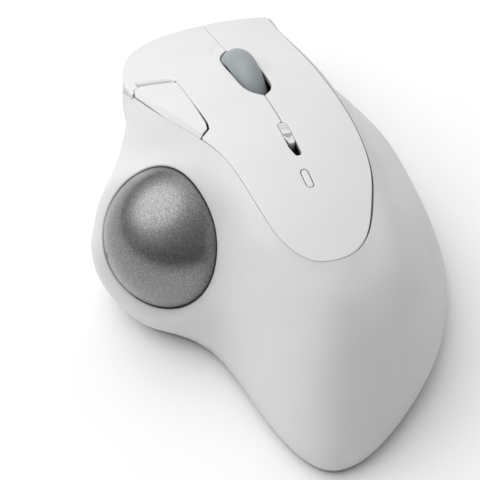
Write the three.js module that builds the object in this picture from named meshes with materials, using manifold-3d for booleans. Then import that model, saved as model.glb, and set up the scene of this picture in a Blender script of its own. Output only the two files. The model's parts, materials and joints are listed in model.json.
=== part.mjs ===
// Thumb trackball mouse, millimetres, +Z up, front of the mouse towards +Y, desk at z = 0.
// Design axes: x = 0 on the seam between the keys, y = 0 at the indicator.
// At the end the whole group is shifted so that the middle of its footprint is the origin.
import * as THREE from 'three';
import { mergeVertices } from 'three/addons/utils/BufferGeometryUtils.js';
import Module from 'manifold-3d';

const wasm = await Module();
wasm.setup();

// ---------------------------------------------------------------- driving dimensions
const GAP = 0.35;                 // clearance between neighbouring pieces
const WALL = 2.4;                 // upper shell
const SHELL_FOOT = 2;             // height of the shell's lower edge
const TRAY_BOTTOM = 0.6;
const TRAY_TOP = 2.6;
const DECK_DROP = 3.2;            // deck of the shell below the crown surface
const DECK_THICK = 1.6;
const KEY_THICK = 2.2;
const THUMB_THICK = 1.8;
const KEY_LIP = 8.6;              // depth of the keys' front lip
const FLEX_Y = 4;                 // line about which the two keys flex
const SEAM_X = 0.75;
const BALL = new THREE.Vector3(-29.4, 11.3, 24.6);
const BALL_R = 18;
const RIM_R = BALL_R + 0.8;       // the ball's opening in the shell
const CUP_R = BALL_R + 1;         // inside of the ball cup
const CUP_WALL = 2;
const WHEEL = new THREE.Vector3(SEAM_X, 44.5, 29.5);
const WHEEL_R = 12.5;
const WHEEL_W = 7.2;
const HUB_R = 9;
const AXLE_R = 1.4;
const RING_R = 2.3;               // steel bearing ring
const RING_W = 2.6;
const PIN_R = 0.8;
const CELL_R = 7.1;
const CELL_LENGTH = 49.5;
const CELL = new THREE.Vector3(-1.5, -14.5, 11.2);
const SCREWS = [[-14.5, -38], [19, -4], [12.3, 69], [-17, 62]];
const FEET = [[-7.5, -48, 13, 5.6, 0.1], [29, 0, 8, 18, -0.35], [-2, 67, 20, 5.6, 0.12], [-37, 20, 8, 17, 0.1]];
const BEARING_DIRECTIONS = [[0.79, 0.54, -0.28], [0.3, -0.57, -0.765], [-0.3, 0.57, -0.765]];
const SENSOR_DIRECTION = new THREE.Vector3(0.62, 0.12, -0.775).normalize();

// ---------------------------------------------------------------- materials
function finish(color, roughness, metalness = 0) {
  return new THREE.MeshStandardMaterial({ color, roughness, metalness });
}
const shellWhite = finish(0xdbdbdb, 0.55);
const keyWhite = finish(0xe8e8e8, 0.5);
const ballSilver = finish(0x8f8f8d, 0.3, 0.8);
const tyreGrey = finish(0xa4aaac, 0.7);
const darkPlastic = finish(0x2c2d2f, 0.6);
const holderGrey = finish(0x7d7d76, 0.6);
const steel = finish(0xc4c6c8, 0.2, 1);
const boardGreen = finish(0x2f6b45, 0.5);
const copper = finish(0xc9a25c, 0.3, 1);
const glideWhite = finish(0xf1f1ee, 0.35);
const lensWhite = finish(0xf4f4f2, 0.3);
const cellGreen = finish(0x3d6f86, 0.4);

// ---------------------------------------------------------------- solids
const group = new THREE.Group();

// Closed geometry to a solid that can be joined and cut.
function solid(geometry) {
  const bare = geometry.clone();
  bare.deleteAttribute('normal');
  bare.deleteAttribute('uv');
  const merged = mergeVertices(bare, 1e-4);
  const vertProperties = Float32Array.from(merged.attributes.position.array);
  const triVerts = Uint32Array.from(merged.index.array);
  return new wasm.Manifold(new wasm.Mesh({ numProp: 3, vertProperties, triVerts }));
}

function geometryOf(body) {
  const mesh = body.getMesh();
  const geometry = new THREE.BufferGeometry();
  geometry.setAttribute('position', new THREE.BufferAttribute(mesh.vertProperties, 3));
  geometry.setIndex(new THREE.BufferAttribute(mesh.triVerts, 1));
  geometry.computeVertexNormals();
  return geometry;
}

function add(name, shape, material, matrix) {
  const geometry = shape.isBufferGeometry ? shape : geometryOf(shape);
  const mesh = new THREE.Mesh(geometry, material);
  mesh.name = name;
  if (matrix) mesh.applyMatrix4(matrix);
  group.add(mesh);
}

function cutAll(body, cutters) {
  return cutters.reduce((rest, cutter) => rest.subtract(cutter), body);
}

function joinAll(bodies) {
  return bodies.reduce((sum, body) => sum.add(body));
}

// Box between two opposite corners.
function box(x0, y0, z0, x1, y1, z1) {
  const geometry = new THREE.BoxGeometry(x1 - x0, y1 - y0, z1 - z0);
  geometry.translate((x0 + x1) / 2, (y0 + y1) / 2, (z0 + z1) / 2);
  return solid(geometry);
}

// Upright cylinder from z0 to z1.
function post(x, y, z0, z1, radius, sides = 20) {
  const geometry = new THREE.CylinderGeometry(radius, radius, z1 - z0, sides);
  geometry.rotateX(Math.PI / 2);
  geometry.translate(x, y, (z0 + z1) / 2);
  return solid(geometry);
}

// Cylinder along x from x0 to x1.
function rod(x0, x1, y, z, radius, sides = 20) {
  const geometry = new THREE.CylinderGeometry(radius, radius, x1 - x0, sides);
  geometry.rotateZ(Math.PI / 2);
  geometry.translate((x0 + x1) / 2, y, z);
  return solid(geometry);
}

function ballSolid(radius) {
  const geometry = new THREE.SphereGeometry(radius, 32, 18);
  geometry.rotateX(Math.PI / 2);
  geometry.translate(BALL.x, BALL.y, BALL.z);
  return solid(geometry);
}

// Upright prism over a closed outline.
function prism(outline, z0, z1) {
  const geometry = new THREE.ExtrudeGeometry(new THREE.Shape(outline), { depth: z1 - z0, bevelEnabled: false });
  geometry.translate(0, 0, z0);
  return solid(geometry);
}

// Rounded rectangle round (x, y), turned by angle.
function padOutline(x, y, width, length, radius, angle = 0) {
  const points = [];
  const centre = new THREE.Vector2(x, y);
  for (let corner = 0; corner < 4; corner += 1) {
    const cx = (width / 2 - radius) * (corner === 0 || corner === 3 ? 1 : -1);
    const cy = (length / 2 - radius) * (corner < 2 ? 1 : -1);
    for (let step = 0; step <= 4; step += 1) {
      const turn = (corner + step / 4) * Math.PI / 2;
      const point = new THREE.Vector2(cx + radius * Math.cos(turn), cy + radius * Math.sin(turn));
      points.push(point.rotateAround(new THREE.Vector2(), angle).add(centre));
    }
  }
  return points;
}

// Outline moved outwards by a distance; its points run counter-clockwise.
function grown(outline, distance) {
  return outline.map((point, i) => {
    const before = outline[(i + outline.length - 1) % outline.length];
    const after = outline[(i + 1) % outline.length];
    const along = after.clone().sub(before).normalize();
    return new THREE.Vector2(point.x + along.y * distance, point.y - along.x * distance);
  });
}

// ---------------------------------------------------------------- crown surface
// Height of the top: a ridge line that falls away to the front and the rear, tilted to the right.
function crown(x, y) {
  const front = Math.max(y - 8, 0);
  const rear = Math.max(8 - y, 0);
  const ridge = 48.3 - 0.0072 * front ** 2 / (1 + (front / 95) ** 3) - 0.004 * rear ** 2;
  return ridge - 0.16 * x - 0.0045 * x ** 2;
}

// Closed solid between two heights under the crown, over an outline that its centre sees whole.
function crownSlab(outline, centre, topDrop, bottomDrop, rings) {
  const count = outline.length;
  const positions = [];
  const index = [];
  for (const drop of [topDrop, bottomDrop]) {
    for (let ring = 0; ring < rings; ring += 1) {
      for (const point of outline) {
        const x = THREE.MathUtils.lerp(point.x, centre.x, ring / rings);
        const y = THREE.MathUtils.lerp(point.y, centre.y, ring / rings);
        positions.push(x, y, crown(x, y) - drop);
      }
    }
    positions.push(centre.x, centre.y, crown(centre.x, centre.y) - drop);
  }
  const layer = count * rings + 1;
  const quad = (a, b, c, d) => index.push(a, b, c, a, c, d);
  for (let i = 0; i < count; i += 1) {
    const next = (i + 1) % count;
    for (let ring = 0; ring + 1 < rings; ring += 1) {
      const outer = ring * count;
      const inner = outer + count;
      quad(outer + i, outer + next, inner + next, inner + i);
      quad(layer + inner + i, layer + inner + next, layer + outer + next, layer + outer + i);
    }
    const last = (rings - 1) * count;
    index.push(last + i, last + next, layer - 1);
    index.push(2 * layer - 1, layer + last + next, layer + last + i);
    quad(layer + i, layer + next, next, i);
  }
  const geometry = new THREE.BufferGeometry();
  geometry.setAttribute('position', new THREE.Float32BufferAttribute(positions, 3));
  geometry.setIndex(index);
  return solid(geometry);
}

// ---------------------------------------------------------------- body surface
// Sections round the body, counter-clockwise from the rear. Each starts on the edge of the key
// cover (x, y, drop below the crown) and runs down the flank to the base.
const SECTIONS = [
  { edge: [-2.5, -24.6, 0], flank: [[-6, -33, 40.5], [-11, -41.5, 31.5], [-15.5, -47, 19], [-18, -49.5, 9],
    [-18.2, -50, 5], [-17.3, -49, 2]] },
  { edge: [4, -23.3, 0], flank: [[3.5, -33, 38.5], [1, -43, 28.5], [-3, -50.5, 16], [-4.5, -53.8, 8],
    [-4.8, -54.2, 5], [-4.5, -53, 2]] },
  { edge: [10, -17.5, 0], flank: [[13.5, -23, 40.5], [17, -30, 33], [17.8, -35, 22], [18.6, -37.3, 11],
    [18, -38, 6], [17.2, -37, 2]] },
  { edge: [14.5, -8, 0], flank: [[18, -10.5, 41.5], [22.5, -13.5, 35.5], [27, -17, 25], [29.5, -19.5, 13],
    [30, -20.5, 6], [29, -19.5, 2]] },
  { edge: [17, 0, 0], flank: [[18.6, -0.7, 42.8], [21.5, -2, 37.5], [27, -4.5, 31], [31, -6, 24.5],
    [32.6, -7, 16], [34.5, -8, 8], [35, -8.5, 5], [34, -8, 2]] },
  { edge: [18.4, 12, 0], flank: [[19.8, 11.8, 42.8], [21, 11.5, 38.5], [23.5, 10.5, 33.5], [28.5, 8.5, 30],
    [31.3, 7.5, 25.5], [32.2, 7, 18], [35, 7, 10], [38, 7, 5.5], [37, 7, 2]] },
  { edge: [18.6, 28, 0], flank: [[20.1, 28, 40], [21, 28, 35.5], [22.5, 27, 31], [27.5, 25, 29],
    [30.3, 24.5, 25], [31.5, 24.5, 18], [34.5, 24, 10], [37.5, 23.5, 5.5], [36.5, 23.5, 2]] },
  { edge: [18.8, 45, 0], flank: [[20.3, 45, 33.4], [21, 45, 30], [22.3, 43.5, 27], [24.6, 42, 25.8],
    [26, 41.5, 22], [27.5, 41.5, 15], [30.5, 41, 8], [32.5, 40.5, 5], [31.5, 40.5, 2]] },
  { edge: [19, 62, 0], flank: [[19.9, 62, 25], [20.1, 62, 22], [20.4, 62, 17], [21, 61.5, 11], [21.8, 61, 6],
    [21.2, 60.5, 2]] },
  { edge: [19, 77, 1], flank: [[19.2, 76.8, 15.5], [19, 76.5, 12], [18.7, 76, 8], [18.3, 75.5, 5],
    [17.8, 75, 2]] },
  { edge: [5, 75.8, 10], flank: [[5, 75.7, 9], [5, 75.5, 7], [5, 75.2, 4.5], [5, 74.8, 2]] },
  { edge: [-12, 72.3, 9], flank: [[-12, 72.3, 12], [-12, 72, 8], [-11.8, 71.6, 5], [-11.5, 71.2, 2]] },
  { edge: [-24.2, 64.3, 4.5], flank: [[-24.5, 64.5, 22], [-24, 64, 15], [-23, 63.5, 8], [-22, 63, 2]] },
  { edge: [-27.6, 52.5, 3.4], flank: [[-28.7, 53, 28], [-28.2, 53.5, 22], [-27, 54.5, 14], [-25.5, 56, 7],
    [-24.5, 56.5, 2]] },
  { edge: [-27.2, 47.5, 3], flank: [[-28.9, 47.4, 33.5], [-29.8, 47.3, 29.5], [-29.6, 47.5, 24],
    [-28.5, 48.8, 15], [-27, 50.5, 7], [-26, 51.8, 2]] },
  { edge: [-25.8, 42, 2.8], flank: [[-29, 41.5, 36.3], [-32.6, 41, 31], [-33.8, 41, 27], [-33.3, 42, 20],
    [-30.5, 44.5, 9], [-28, 47, 2]] },
  { edge: [-23.3, 31, 2.8], flank: [[-26.5, 30.5, 41], [-31, 30.5, 36.5], [-37.5, 31, 31.5], [-41, 31, 28],
    [-41.2, 31.5, 22], [-38, 33, 11], [-34, 36, 2]] },
  { edge: [-20.9, 19, 2.4], flank: [[-23, 19.5, 45.3], [-27, 20.5, 41.8], [-33, 22.5, 37], [-38.3, 25.3, 33.1],
    [-43.8, 25, 28.5], [-46, 24.5, 25.5], [-46.5, 24.8, 20], [-44.5, 26, 10], [-40, 28.5, 2]] },
  { edge: [-16.8, 9, 0], flank: [[-19, 8.8, 48.4], [-24, 10, 43.2], [-31, 12.5, 34], [-40, 14.5, 26],
    [-46.3, 15, 22.5], [-49.2, 14.7, 20.5], [-49.7, 14.9, 15], [-47, 16, 7.5], [-43, 18, 2]] },
  { edge: [-15.2, -2, 0], flank: [[-18, -1, 47.5], [-22.9, 0.8, 39.5], [-29, 2.5, 28], [-38, 4, 18.5],
    [-42.4, 2.9, 14.2], [-45.3, 3.1, 12.3], [-44.8, 3.6, 9.5], [-42.6, 4.6, 5], [-40.6, 6.3, 2]] },
  { edge: [-14.2, -9.5, 0], flank: [[-17, -9.3, 46.3], [-22, -8, 37.5], [-25.8, -7.5, 29], [-29.2, -7.4, 22.7],
    [-33.5, -6.8, 16.8], [-37.3, -4.8, 12], [-38.4, -3.6, 9], [-36.8, -2, 5.5], [-34.6, -0.3, 2]] },
  { edge: [-12.4, -17, 0], flank: [[-16, -17.5, 44.3], [-20.5, -17.2, 36], [-24, -16.3, 26],
    [-26.6, -14.3, 15.5], [-28.2, -12, 8], [-27.9, -11.4, 5], [-27, -10.6, 2]] },
  { edge: [-8, -23, 0], flank: [[-12, -26.5, 42.5], [-17, -30, 34.5], [-21, -31.5, 23], [-23.4, -31.5, 12],
    [-23.8, -31.5, 6], [-22.8, -31, 2]] },
];
const ROWS = 13;
const SMOOTHING_PASSES = 6;

// Rows of points down each section, evenly spaced, then adjusted so that the smooth surface
// through them passes over them.
function controlNet() {
  const points = SECTIONS.map(({ edge, flank }) => {
    const [x, y, drop] = edge;
    const start = new THREE.Vector3(x, y, crown(x, y) - drop);
    const curve = new THREE.CatmullRomCurve3([start, ...flank.map((p) => new THREE.Vector3(...p))]);
    return curve.getSpacedPoints(ROWS - 1);
  });
  let net = points;
  for (let pass = 0; pass < SMOOTHING_PASSES; pass += 1) {
    net = net.map((section, i) => section.map((control, row) => {
      const before = net[(i + net.length - 1) % net.length][row];
      const after = net[(i + 1) % net.length][row];
      const blended = before.clone().add(after).addScaledVector(control, 4).divideScalar(6);
      return control.clone().add(points[i][row]).sub(blended);
    }));
  }
  return net;
}
const NET = controlNet();

// Uniform cubic weights for the four controls round a parameter.
function weights(t) {
  return [(1 - t) ** 3, 3 * t ** 3 - 6 * t ** 2 + 4, -3 * t ** 3 + 3 * t ** 2 + 3 * t + 1, t ** 3]
    .map((weight) => weight / 6);
}

function netPoint(section, row) {
  const column = NET[(section + NET.length) % NET.length];
  if (row < 0) return column[0].clone().multiplyScalar(2).sub(column[1]);
  if (row >= ROWS) return column[ROWS - 1].clone().multiplyScalar(2).sub(column[ROWS - 2]);
  return column[row];
}

// Point of the body surface: u counts sections round the body, v runs from 0 at the key cover to 1.
function bodyPoint(u, v) {
  const section = Math.floor(u);
  const row = Math.min(Math.floor(v * (ROWS - 1)), ROWS - 2);
  const acrossWeights = weights(u - section);
  const downWeights = weights(v * (ROWS - 1) - row);
  const point = new THREE.Vector3();
  acrossWeights.forEach((across, a) => {
    downWeights.forEach((down, b) => {
      point.addScaledVector(netPoint(section + a - 1, row + b - 1), across * down);
    });
  });
  return point;
}

// The body as a closed solid, with its flank moved inwards towards the spine by inset, its top at
// deckDrop under the crown and its foot at footZ.
const STEPS_ROUND = SECTIONS.length * 2;
const STEPS_DOWN = 11;
const DECK_RINGS = 3;
const DECK_CENTRE = new THREE.Vector3(-1, 25, 0);
const SPINE = { x: -2, rear: -25, front: 58, z: 9 };

function bodySolid(inset, deckDrop, footZ) {
  const rows = [];
  for (let j = 0; j <= STEPS_DOWN; j += 1) {
    const row = [];
    for (let i = 0; i < STEPS_ROUND; i += 1) {
      const point = bodyPoint(i * SECTIONS.length / STEPS_ROUND, j / STEPS_DOWN);
      const spine = new THREE.Vector3(SPINE.x, THREE.MathUtils.clamp(point.y, SPINE.rear, SPINE.front), SPINE.z);
      point.addScaledVector(spine.sub(point).normalize(), inset);
      if (inset > 0) point.z = Math.min(point.z, crown(point.x, point.y) - deckDrop);
      if (j === STEPS_DOWN) point.z = SHELL_FOOT;
      row.push(point);
    }
    rows.push(row);
  }
  const rim = rows[0];
  for (let ring = 0; ring < DECK_RINGS; ring += 1) {
    const inwards = 0.02 + ring / DECK_RINGS;
    rows.unshift(rim.map((point) => {
      const inner = point.clone().lerp(DECK_CENTRE, inwards);
      inner.z = Math.min(point.z, crown(inner.x, inner.y) - deckDrop);
      if (ring > 0) inner.z = crown(inner.x, inner.y) - deckDrop;
      return inner;
    }));
  }
  if (footZ !== SHELL_FOOT) rows.push(rows[rows.length - 1].map((p) => new THREE.Vector3(p.x, p.y, footZ)));
  const top = new THREE.Vector3(DECK_CENTRE.x, DECK_CENTRE.y, crown(DECK_CENTRE.x, DECK_CENTRE.y) - deckDrop);
  const bottom = new THREE.Vector3(-5, 8, footZ);
  const positions = [top, ...rows.flat(), bottom].flatMap((point) => [point.x, point.y, point.z]);
  const index = [];
  const lastPoint = 1 + rows.length * STEPS_ROUND;
  const lastRow = lastPoint - STEPS_ROUND;
  for (let i = 0; i < STEPS_ROUND; i += 1) {
    const next = (i + 1) % STEPS_ROUND;
    index.push(0, 1 + i, 1 + next);
    for (let j = 0; j + 1 < rows.length; j += 1) {
      const upper = 1 + j * STEPS_ROUND;
      const lower = upper + STEPS_ROUND;
      index.push(upper + i, lower + i, lower + next, upper + i, lower + next, upper + next);
    }
    index.push(lastPoint, lastRow + next, lastRow + i);
  }
  const geometry = new THREE.BufferGeometry();
  geometry.setAttribute('position', new THREE.Float32BufferAttribute(positions, 3));
  geometry.setIndex(index);
  return solid(geometry);
}


// ---------------------------------------------------------------- key cover outlines
function plan(points) {
  return points.map(([x, y]) => new THREE.Vector2(x, y));
}
const FRONT_EDGE = plan([[18.6, 78.3], [8, 77.6], [0, 76.5], [-8.3, 75.1], [-14.4, 73.4], [-19.2, 70.9],
  [-23.4, 66.8], [-26.6, 60.2], [-28, 54], [-27.9, 47.6]]);
const REAR_EDGE = plan([[-19.2, 17.2], [-16.2, 9], [-14.6, -2], [-13.8, -9.4], [-12, -16.8], [-7.7, -22.5],
  [-2.5, -24.1], [4, -22.8], [9.7, -17.1], [14.1, -8], [16.6, 0], [17.7, 12]]);
const THUMB_EDGE = plan([[-27.9, 47.2], [-26.9, 42], [-24.3, 31.6], [-20.4, 18.6]]);
const RIGHT_EDGE = plan([[17.9, 28], [18.1, 45], [18.4, 62]]);

function smooth(points, count) {
  return new THREE.SplineCurve(points).getSpacedPoints(count);
}
// Whole outline, counter-clockwise from the front right corner.
const COVER = [...smooth(FRONT_EDGE, 13), ...THUMB_EDGE, ...smooth(REAR_EDGE, 17), ...RIGHT_EDGE];
const COVER_CENTRE = new THREE.Vector2(-1, 25);
// Thumb key: a kite with its tip to the rear.
const KITE = plan([[-19.9, 20], [-17.4, 22.2], [-17, 24.5], [-16.9, 45.6], [-17.6, 46.9], [-25.4, 49.7],
  [-27.3, 48.6], [-27.9, 46.3], [-26.9, 42], [-24.3, 31.6]]);
const KITE_CENTRE = new THREE.Vector2(-21.5, 37);

// ---------------------------------------------------------------- casing
const BOSS_TOP = 60;
const outerBody = bodySolid(0, DECK_DROP, SHELL_FOOT);
const innerBody = bodySolid(WALL, DECK_DROP + DECK_THICK, -1);
const innerSpace = bodySolid(WALL + GAP, DECK_DROP + DECK_THICK + GAP, -1);

const MAIN_SWITCHES = { left: [-10, 58], right: [10.5, 58] };
const THUMB_PIVOT = { y: 35, z: 38.6 };
const LED_OPENING = [-4, -5.6, 30, 5, 22.6, 60];       // two corners of each opening in the deck
const WHEEL_OPENING = [-7.4, 29, 20, 12.2, 60, 60];

function upperShell() {
  const bosses = SCREWS.map(([x, y]) => post(x, y, 5.4, BOSS_TOP, 3).intersect(outerBody));
  const lugs = [-26, -18.4].map((x) => box(x, 33, 36.6, x + 1.4, 37, 41).intersect(outerBody));
  const walls = joinAll([outerBody.subtract(innerBody), ...bosses, ...lugs]);
  const pilots = SCREWS.map(([x, y]) => post(x, y, 5, 16, 1.3, 12));
  const keyHoles = Object.values(MAIN_SWITCHES).map(([x, y]) => box(x - 3.5, y - 3.5, 20, x + 3.5, y + 3.5, 60));
  return cutAll(walls, [ballSolid(RIM_R), box(...LED_OPENING), box(...WHEEL_OPENING), ...keyHoles,
    prism(grown(KITE, -1.4), 34, 60), rod(-26.8, -15, THUMB_PIVOT.y, THUMB_PIVOT.z, PIN_R + GAP, 12), ...pilots]);
}


// Outline of the body's foot, moved inwards.
function footOutline(inset) {
  const outline = [];
  for (let i = 0; i < STEPS_ROUND; i += 1) {
    const point = bodyPoint(i * SECTIONS.length / STEPS_ROUND, 1);
    outline.push(new THREE.Vector2(point.x, point.y));
  }
  return grown(outline, -inset);
}

const DOOR = [CELL.x - 8.4, -42.9, CELL.x + 8.4, 11.2];
const EJECT_R = 3;
const POWER_KNOB = { x: 22, y: 26, travel: 3 };
const MODE_BUTTON = { x: 22, y: 40, radius: 2.2 };

function baseTray() {
  const plate = prism(footOutline(0.6), TRAY_BOTTOM, SHELL_FOOT - 0.3);
  const floor = prism(footOutline(WALL + 0.8), TRAY_BOTTOM, TRAY_TOP);
  const sockets = SCREWS.map(([x, y]) => post(x, y, TRAY_BOTTOM, 5, 3.8));
  const cellWalls = [box(CELL.x - 5.5, 11.7, 1.5, CELL.x + 5.5, 13.1, 15),
    box(CELL.x - 5, -44.9, 1.5, CELL.x + 4, -43.4, 14)];
  const boardPosts = [[-11.5, 61.5], [12.5, 61.5]].map(([x, y]) => post(x, y, 1.5, 18, 1.6, 12));
  const pockets = FEET.map(([x, y, width, length, turn]) => (
    prism(padOutline(x, y, width + 0.6, length + 0.6, 2.8, turn), 0, TRAY_BOTTOM + 0.6)));
  const heads = SCREWS.map(([x, y]) => post(x, y, 0, 3, 2.9));
  const shanks = SCREWS.map(([x, y]) => post(x, y, 0, 6, 1.4, 12));
  const door = box(DOOR[0], DOOR[1], 0, DOOR[2], DOOR[3], 4);
  const knobSlot = box(POWER_KNOB.x - 2.3, POWER_KNOB.y - 5.2, 0, POWER_KNOB.x + 2.3, POWER_KNOB.y + 5.2, 4);
  const buttonHole = post(MODE_BUTTON.x, MODE_BUTTON.y, 0, 4, MODE_BUTTON.radius + GAP);
  const inside = joinAll([floor, ...sockets, ...cellWalls, ...boardPosts]).intersect(innerSpace);
  return cutAll(plate.add(inside),
    [...pockets, ...heads, ...shanks, door, knobSlot, buttonHole, post(BALL.x, BALL.y, 0, 4, EJECT_R)]);
}

// ---------------------------------------------------------------- keys
const WHEEL_SLOT = padOutline(SEAM_X, 44.3, 8.4, 27, 3.9);
const SWITCH_SLOT = { x0: -1, x1: 1.8, y0: 6.5, y1: 18.9 };
const INDICATOR = padOutline(0, -0.9, 1.8, 5.4, 0.85);
const KEY_TRAVEL_ROOM = 1;
const TIP_RELIEF = 0.8;

function keyCover() {
  const plate = crownSlab(COVER, COVER_CENTRE, 0, KEY_THICK, 4);
  const skirt = crownSlab(COVER, COVER_CENTRE, 0.5, KEY_LIP, 2);
  const lip = cutAll(skirt, [crownSlab(grown(COVER, -1.8), COVER_CENTRE, -1, KEY_LIP + 2, 2),
    box(-60, -60, 0, 60, 56, 60)]);
  const raised = geometryOf(bodySolid(-GAP, DECK_DROP - GAP, SHELL_FOOT));
  raised.translate(0, 0, KEY_TRAVEL_ROOM - GAP);
  return cutAll(plate.add(lip), [
    bodySolid(-GAP, DECK_DROP - GAP, SHELL_FOOT),
    solid(raised),
    prism(WHEEL_SLOT, 10, 60),
    prism(grown(KITE, GAP), 10, 60),
    post(KITE[0].x, KITE[0].y, 10, 60, TIP_RELIEF, 12),
    box(SEAM_X - 0.2, SWITCH_SLOT.y1 - 1, 10, SEAM_X + 0.2, 90, 60),
    box(SWITCH_SLOT.x0, SWITCH_SLOT.y0, 10, SWITCH_SLOT.x1, SWITCH_SLOT.y1, 60),
    prism(grown(INDICATOR, 0.25), 10, 60),
  ]);
}

function buildKeys() {
  const cover = keyCover();
  const cut = GAP / 2;
  const frontHalf = cover.intersect(box(-60, FLEX_Y + cut, 0, 60, 90, 60));
  const slotToFlex = box(SEAM_X - cut, FLEX_Y - 1, 10, SEAM_X + cut, SWITCH_SLOT.y0 + 1, 60);
  const halves = frontHalf.subtract(slotToFlex);
  const pusher = ([x, y]) => post(x, y, crown(x, y) - 7.2, crown(x, y) - 1.5, 1.6, 12);
  add('left_button', halves.intersect(box(-60, 0, 0, SEAM_X, 90, 60)).add(pusher(MAIN_SWITCHES.left)), keyWhite);
  add('right_button', halves.intersect(box(SEAM_X, 0, 0, 60, 90, 60)).add(pusher(MAIN_SWITCHES.right)), keyWhite);
  add('rear_cover', cover.intersect(box(-60, -60, 0, 60, FLEX_Y - cut, 60)), keyWhite);
  add('indicator_lens', crownSlab(INDICATOR, new THREE.Vector2(0, -0.9), 0, KEY_THICK, 2), lensWhite);
}

function buildThumbKey() {
  const plate = crownSlab(KITE, KITE_CENTRE, 0, THUMB_THICK, 3);
  const rib = box(-22.9, 33, THUMB_PIVOT.z - 2, -19.4, 37, crown(-21.5, 35) - 1);
  const feet = [[-21, 43.5], [-20, 28.5]].map(([x, y]) => post(x, y, crown(x, y) - 4.4, crown(x, y) - 1, 1.3, 12));
  const key = joinAll([plate, rib, ...feet]).subtract(rod(-30, -10, THUMB_PIVOT.y, THUMB_PIVOT.z, PIN_R + 0.3, 12));
  add('thumb_key', key, keyWhite);
  add('thumb_key_pin', rod(-26.3, -16.7, THUMB_PIVOT.y, THUMB_PIVOT.z, PIN_R, 12), steel);
}

// ---------------------------------------------------------------- ball, cup and bearings
// Frame at the ball's centre with z along a direction and x level.
function aimed(direction) {
  const outwards = new THREE.Vector3(...direction).normalize();
  const level = new THREE.Vector3(-outwards.y, outwards.x, 0).normalize();
  const across = outwards.clone().cross(level);
  const matrix = new THREE.Matrix4().makeBasis(level, across, outwards);
  return matrix.setPosition(BALL);
}

function placed(body, matrix) {
  return solid(geometryOf(body).applyMatrix4(matrix));
}

const HOLDER = { width: 9.6, depth: 8.6, top: BALL_R + 1, bottom: BALL_R + 4.8 };
const RING_CENTRE = BALL_R + RING_R + 0.12;

function bearingHolder() {
  const { width, depth, top, bottom } = HOLDER;
  const block = box(-width / 2, -depth / 2, top, width / 2, depth / 2, bottom);
  const bosses = rod(-4.3, 4.3, 0, RING_CENTRE, 1.7, 16);
  const window = box(-3, -2.9, 0, 3, 2.9, bottom + 1);
  const ringRoom = rod(-RING_W / 2 - 0.3, RING_W / 2 + 0.3, 0, RING_CENTRE, RING_R + 0.4, 16);
  const notch = box(-2.6, -9, bottom - 1.3, 2.6, 9, bottom + 1);
  return cutAll(block.subtract(window).add(bosses), [ringRoom, notch, rod(-5, 5, 0, RING_CENTRE, PIN_R + 0.3, 12)]);
}

function buildBallUnit() {
  const ball = new THREE.SphereGeometry(BALL_R, 28, 16);
  ball.rotateX(Math.PI / 2);
  add('ball', solid(ball), ballSilver, new THREE.Matrix4().setPosition(BALL));
  const pocket = box(-HOLDER.width / 2 - 0.3, -HOLDER.depth / 2 - 0.3, 10, HOLDER.width / 2 + 0.3,
    HOLDER.depth / 2 + 0.3, 30);
  const pockets = BEARING_DIRECTIONS.map((direction) => placed(pocket, aimed(direction)));
  const window = placed(post(0, 0, 10, 30, 3.2), aimed(SENSOR_DIRECTION.toArray()));
  const cup = ballSolid(CUP_R + CUP_WALL).subtract(ballSolid(CUP_R)).intersect(innerSpace);
  const thumbRoom = box(-26.8, 20, 33, -10, 60, 60);
  add('ball_cup', cutAll(cup, [...pockets, window, thumbRoom, post(BALL.x, BALL.y, 0, 10, EJECT_R)]), darkPlastic);
  const ring = new THREE.LatheGeometry(ringProfile(PIN_R + 0.25, RING_R, RING_W), 28);
  ring.rotateZ(Math.PI / 2);
  ring.translate(0, 0, RING_CENTRE);
  BEARING_DIRECTIONS.forEach((direction, i) => {
    const matrix = aimed(direction);
    add(`bearing_holder_${i + 1}`, bearingHolder(), holderGrey, matrix);
    add(`bearing_ring_${i + 1}`, solid(ring), steel, matrix);
    add(`bearing_pin_${i + 1}`, rod(-4.2, 4.2, 0, RING_CENTRE, PIN_R, 12), steel, matrix);
  });
  const sensor = aimed(SENSOR_DIRECTION.toArray());
  add('sensor_lens', post(0, 0, CUP_R + 0.4, CUP_R + CUP_WALL + 0.6, 2.6, 16), lensWhite, sensor);
  add('optical_sensor', box(-4, -4, CUP_R + CUP_WALL + 0.9, 4, 4, CUP_R + CUP_WALL + 3.2), darkPlastic, sensor);
}

// Closed section of a ring round the y axis, with its corners taken off.
function ringProfile(inner, outer, width) {
  const half = width / 2;
  const corner = 0.2;
  return plan([[inner, -half], [outer - corner, -half], [outer, corner - half], [outer, half - corner],
    [outer - corner, half], [inner, half], [inner, -half]]);
}

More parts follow.
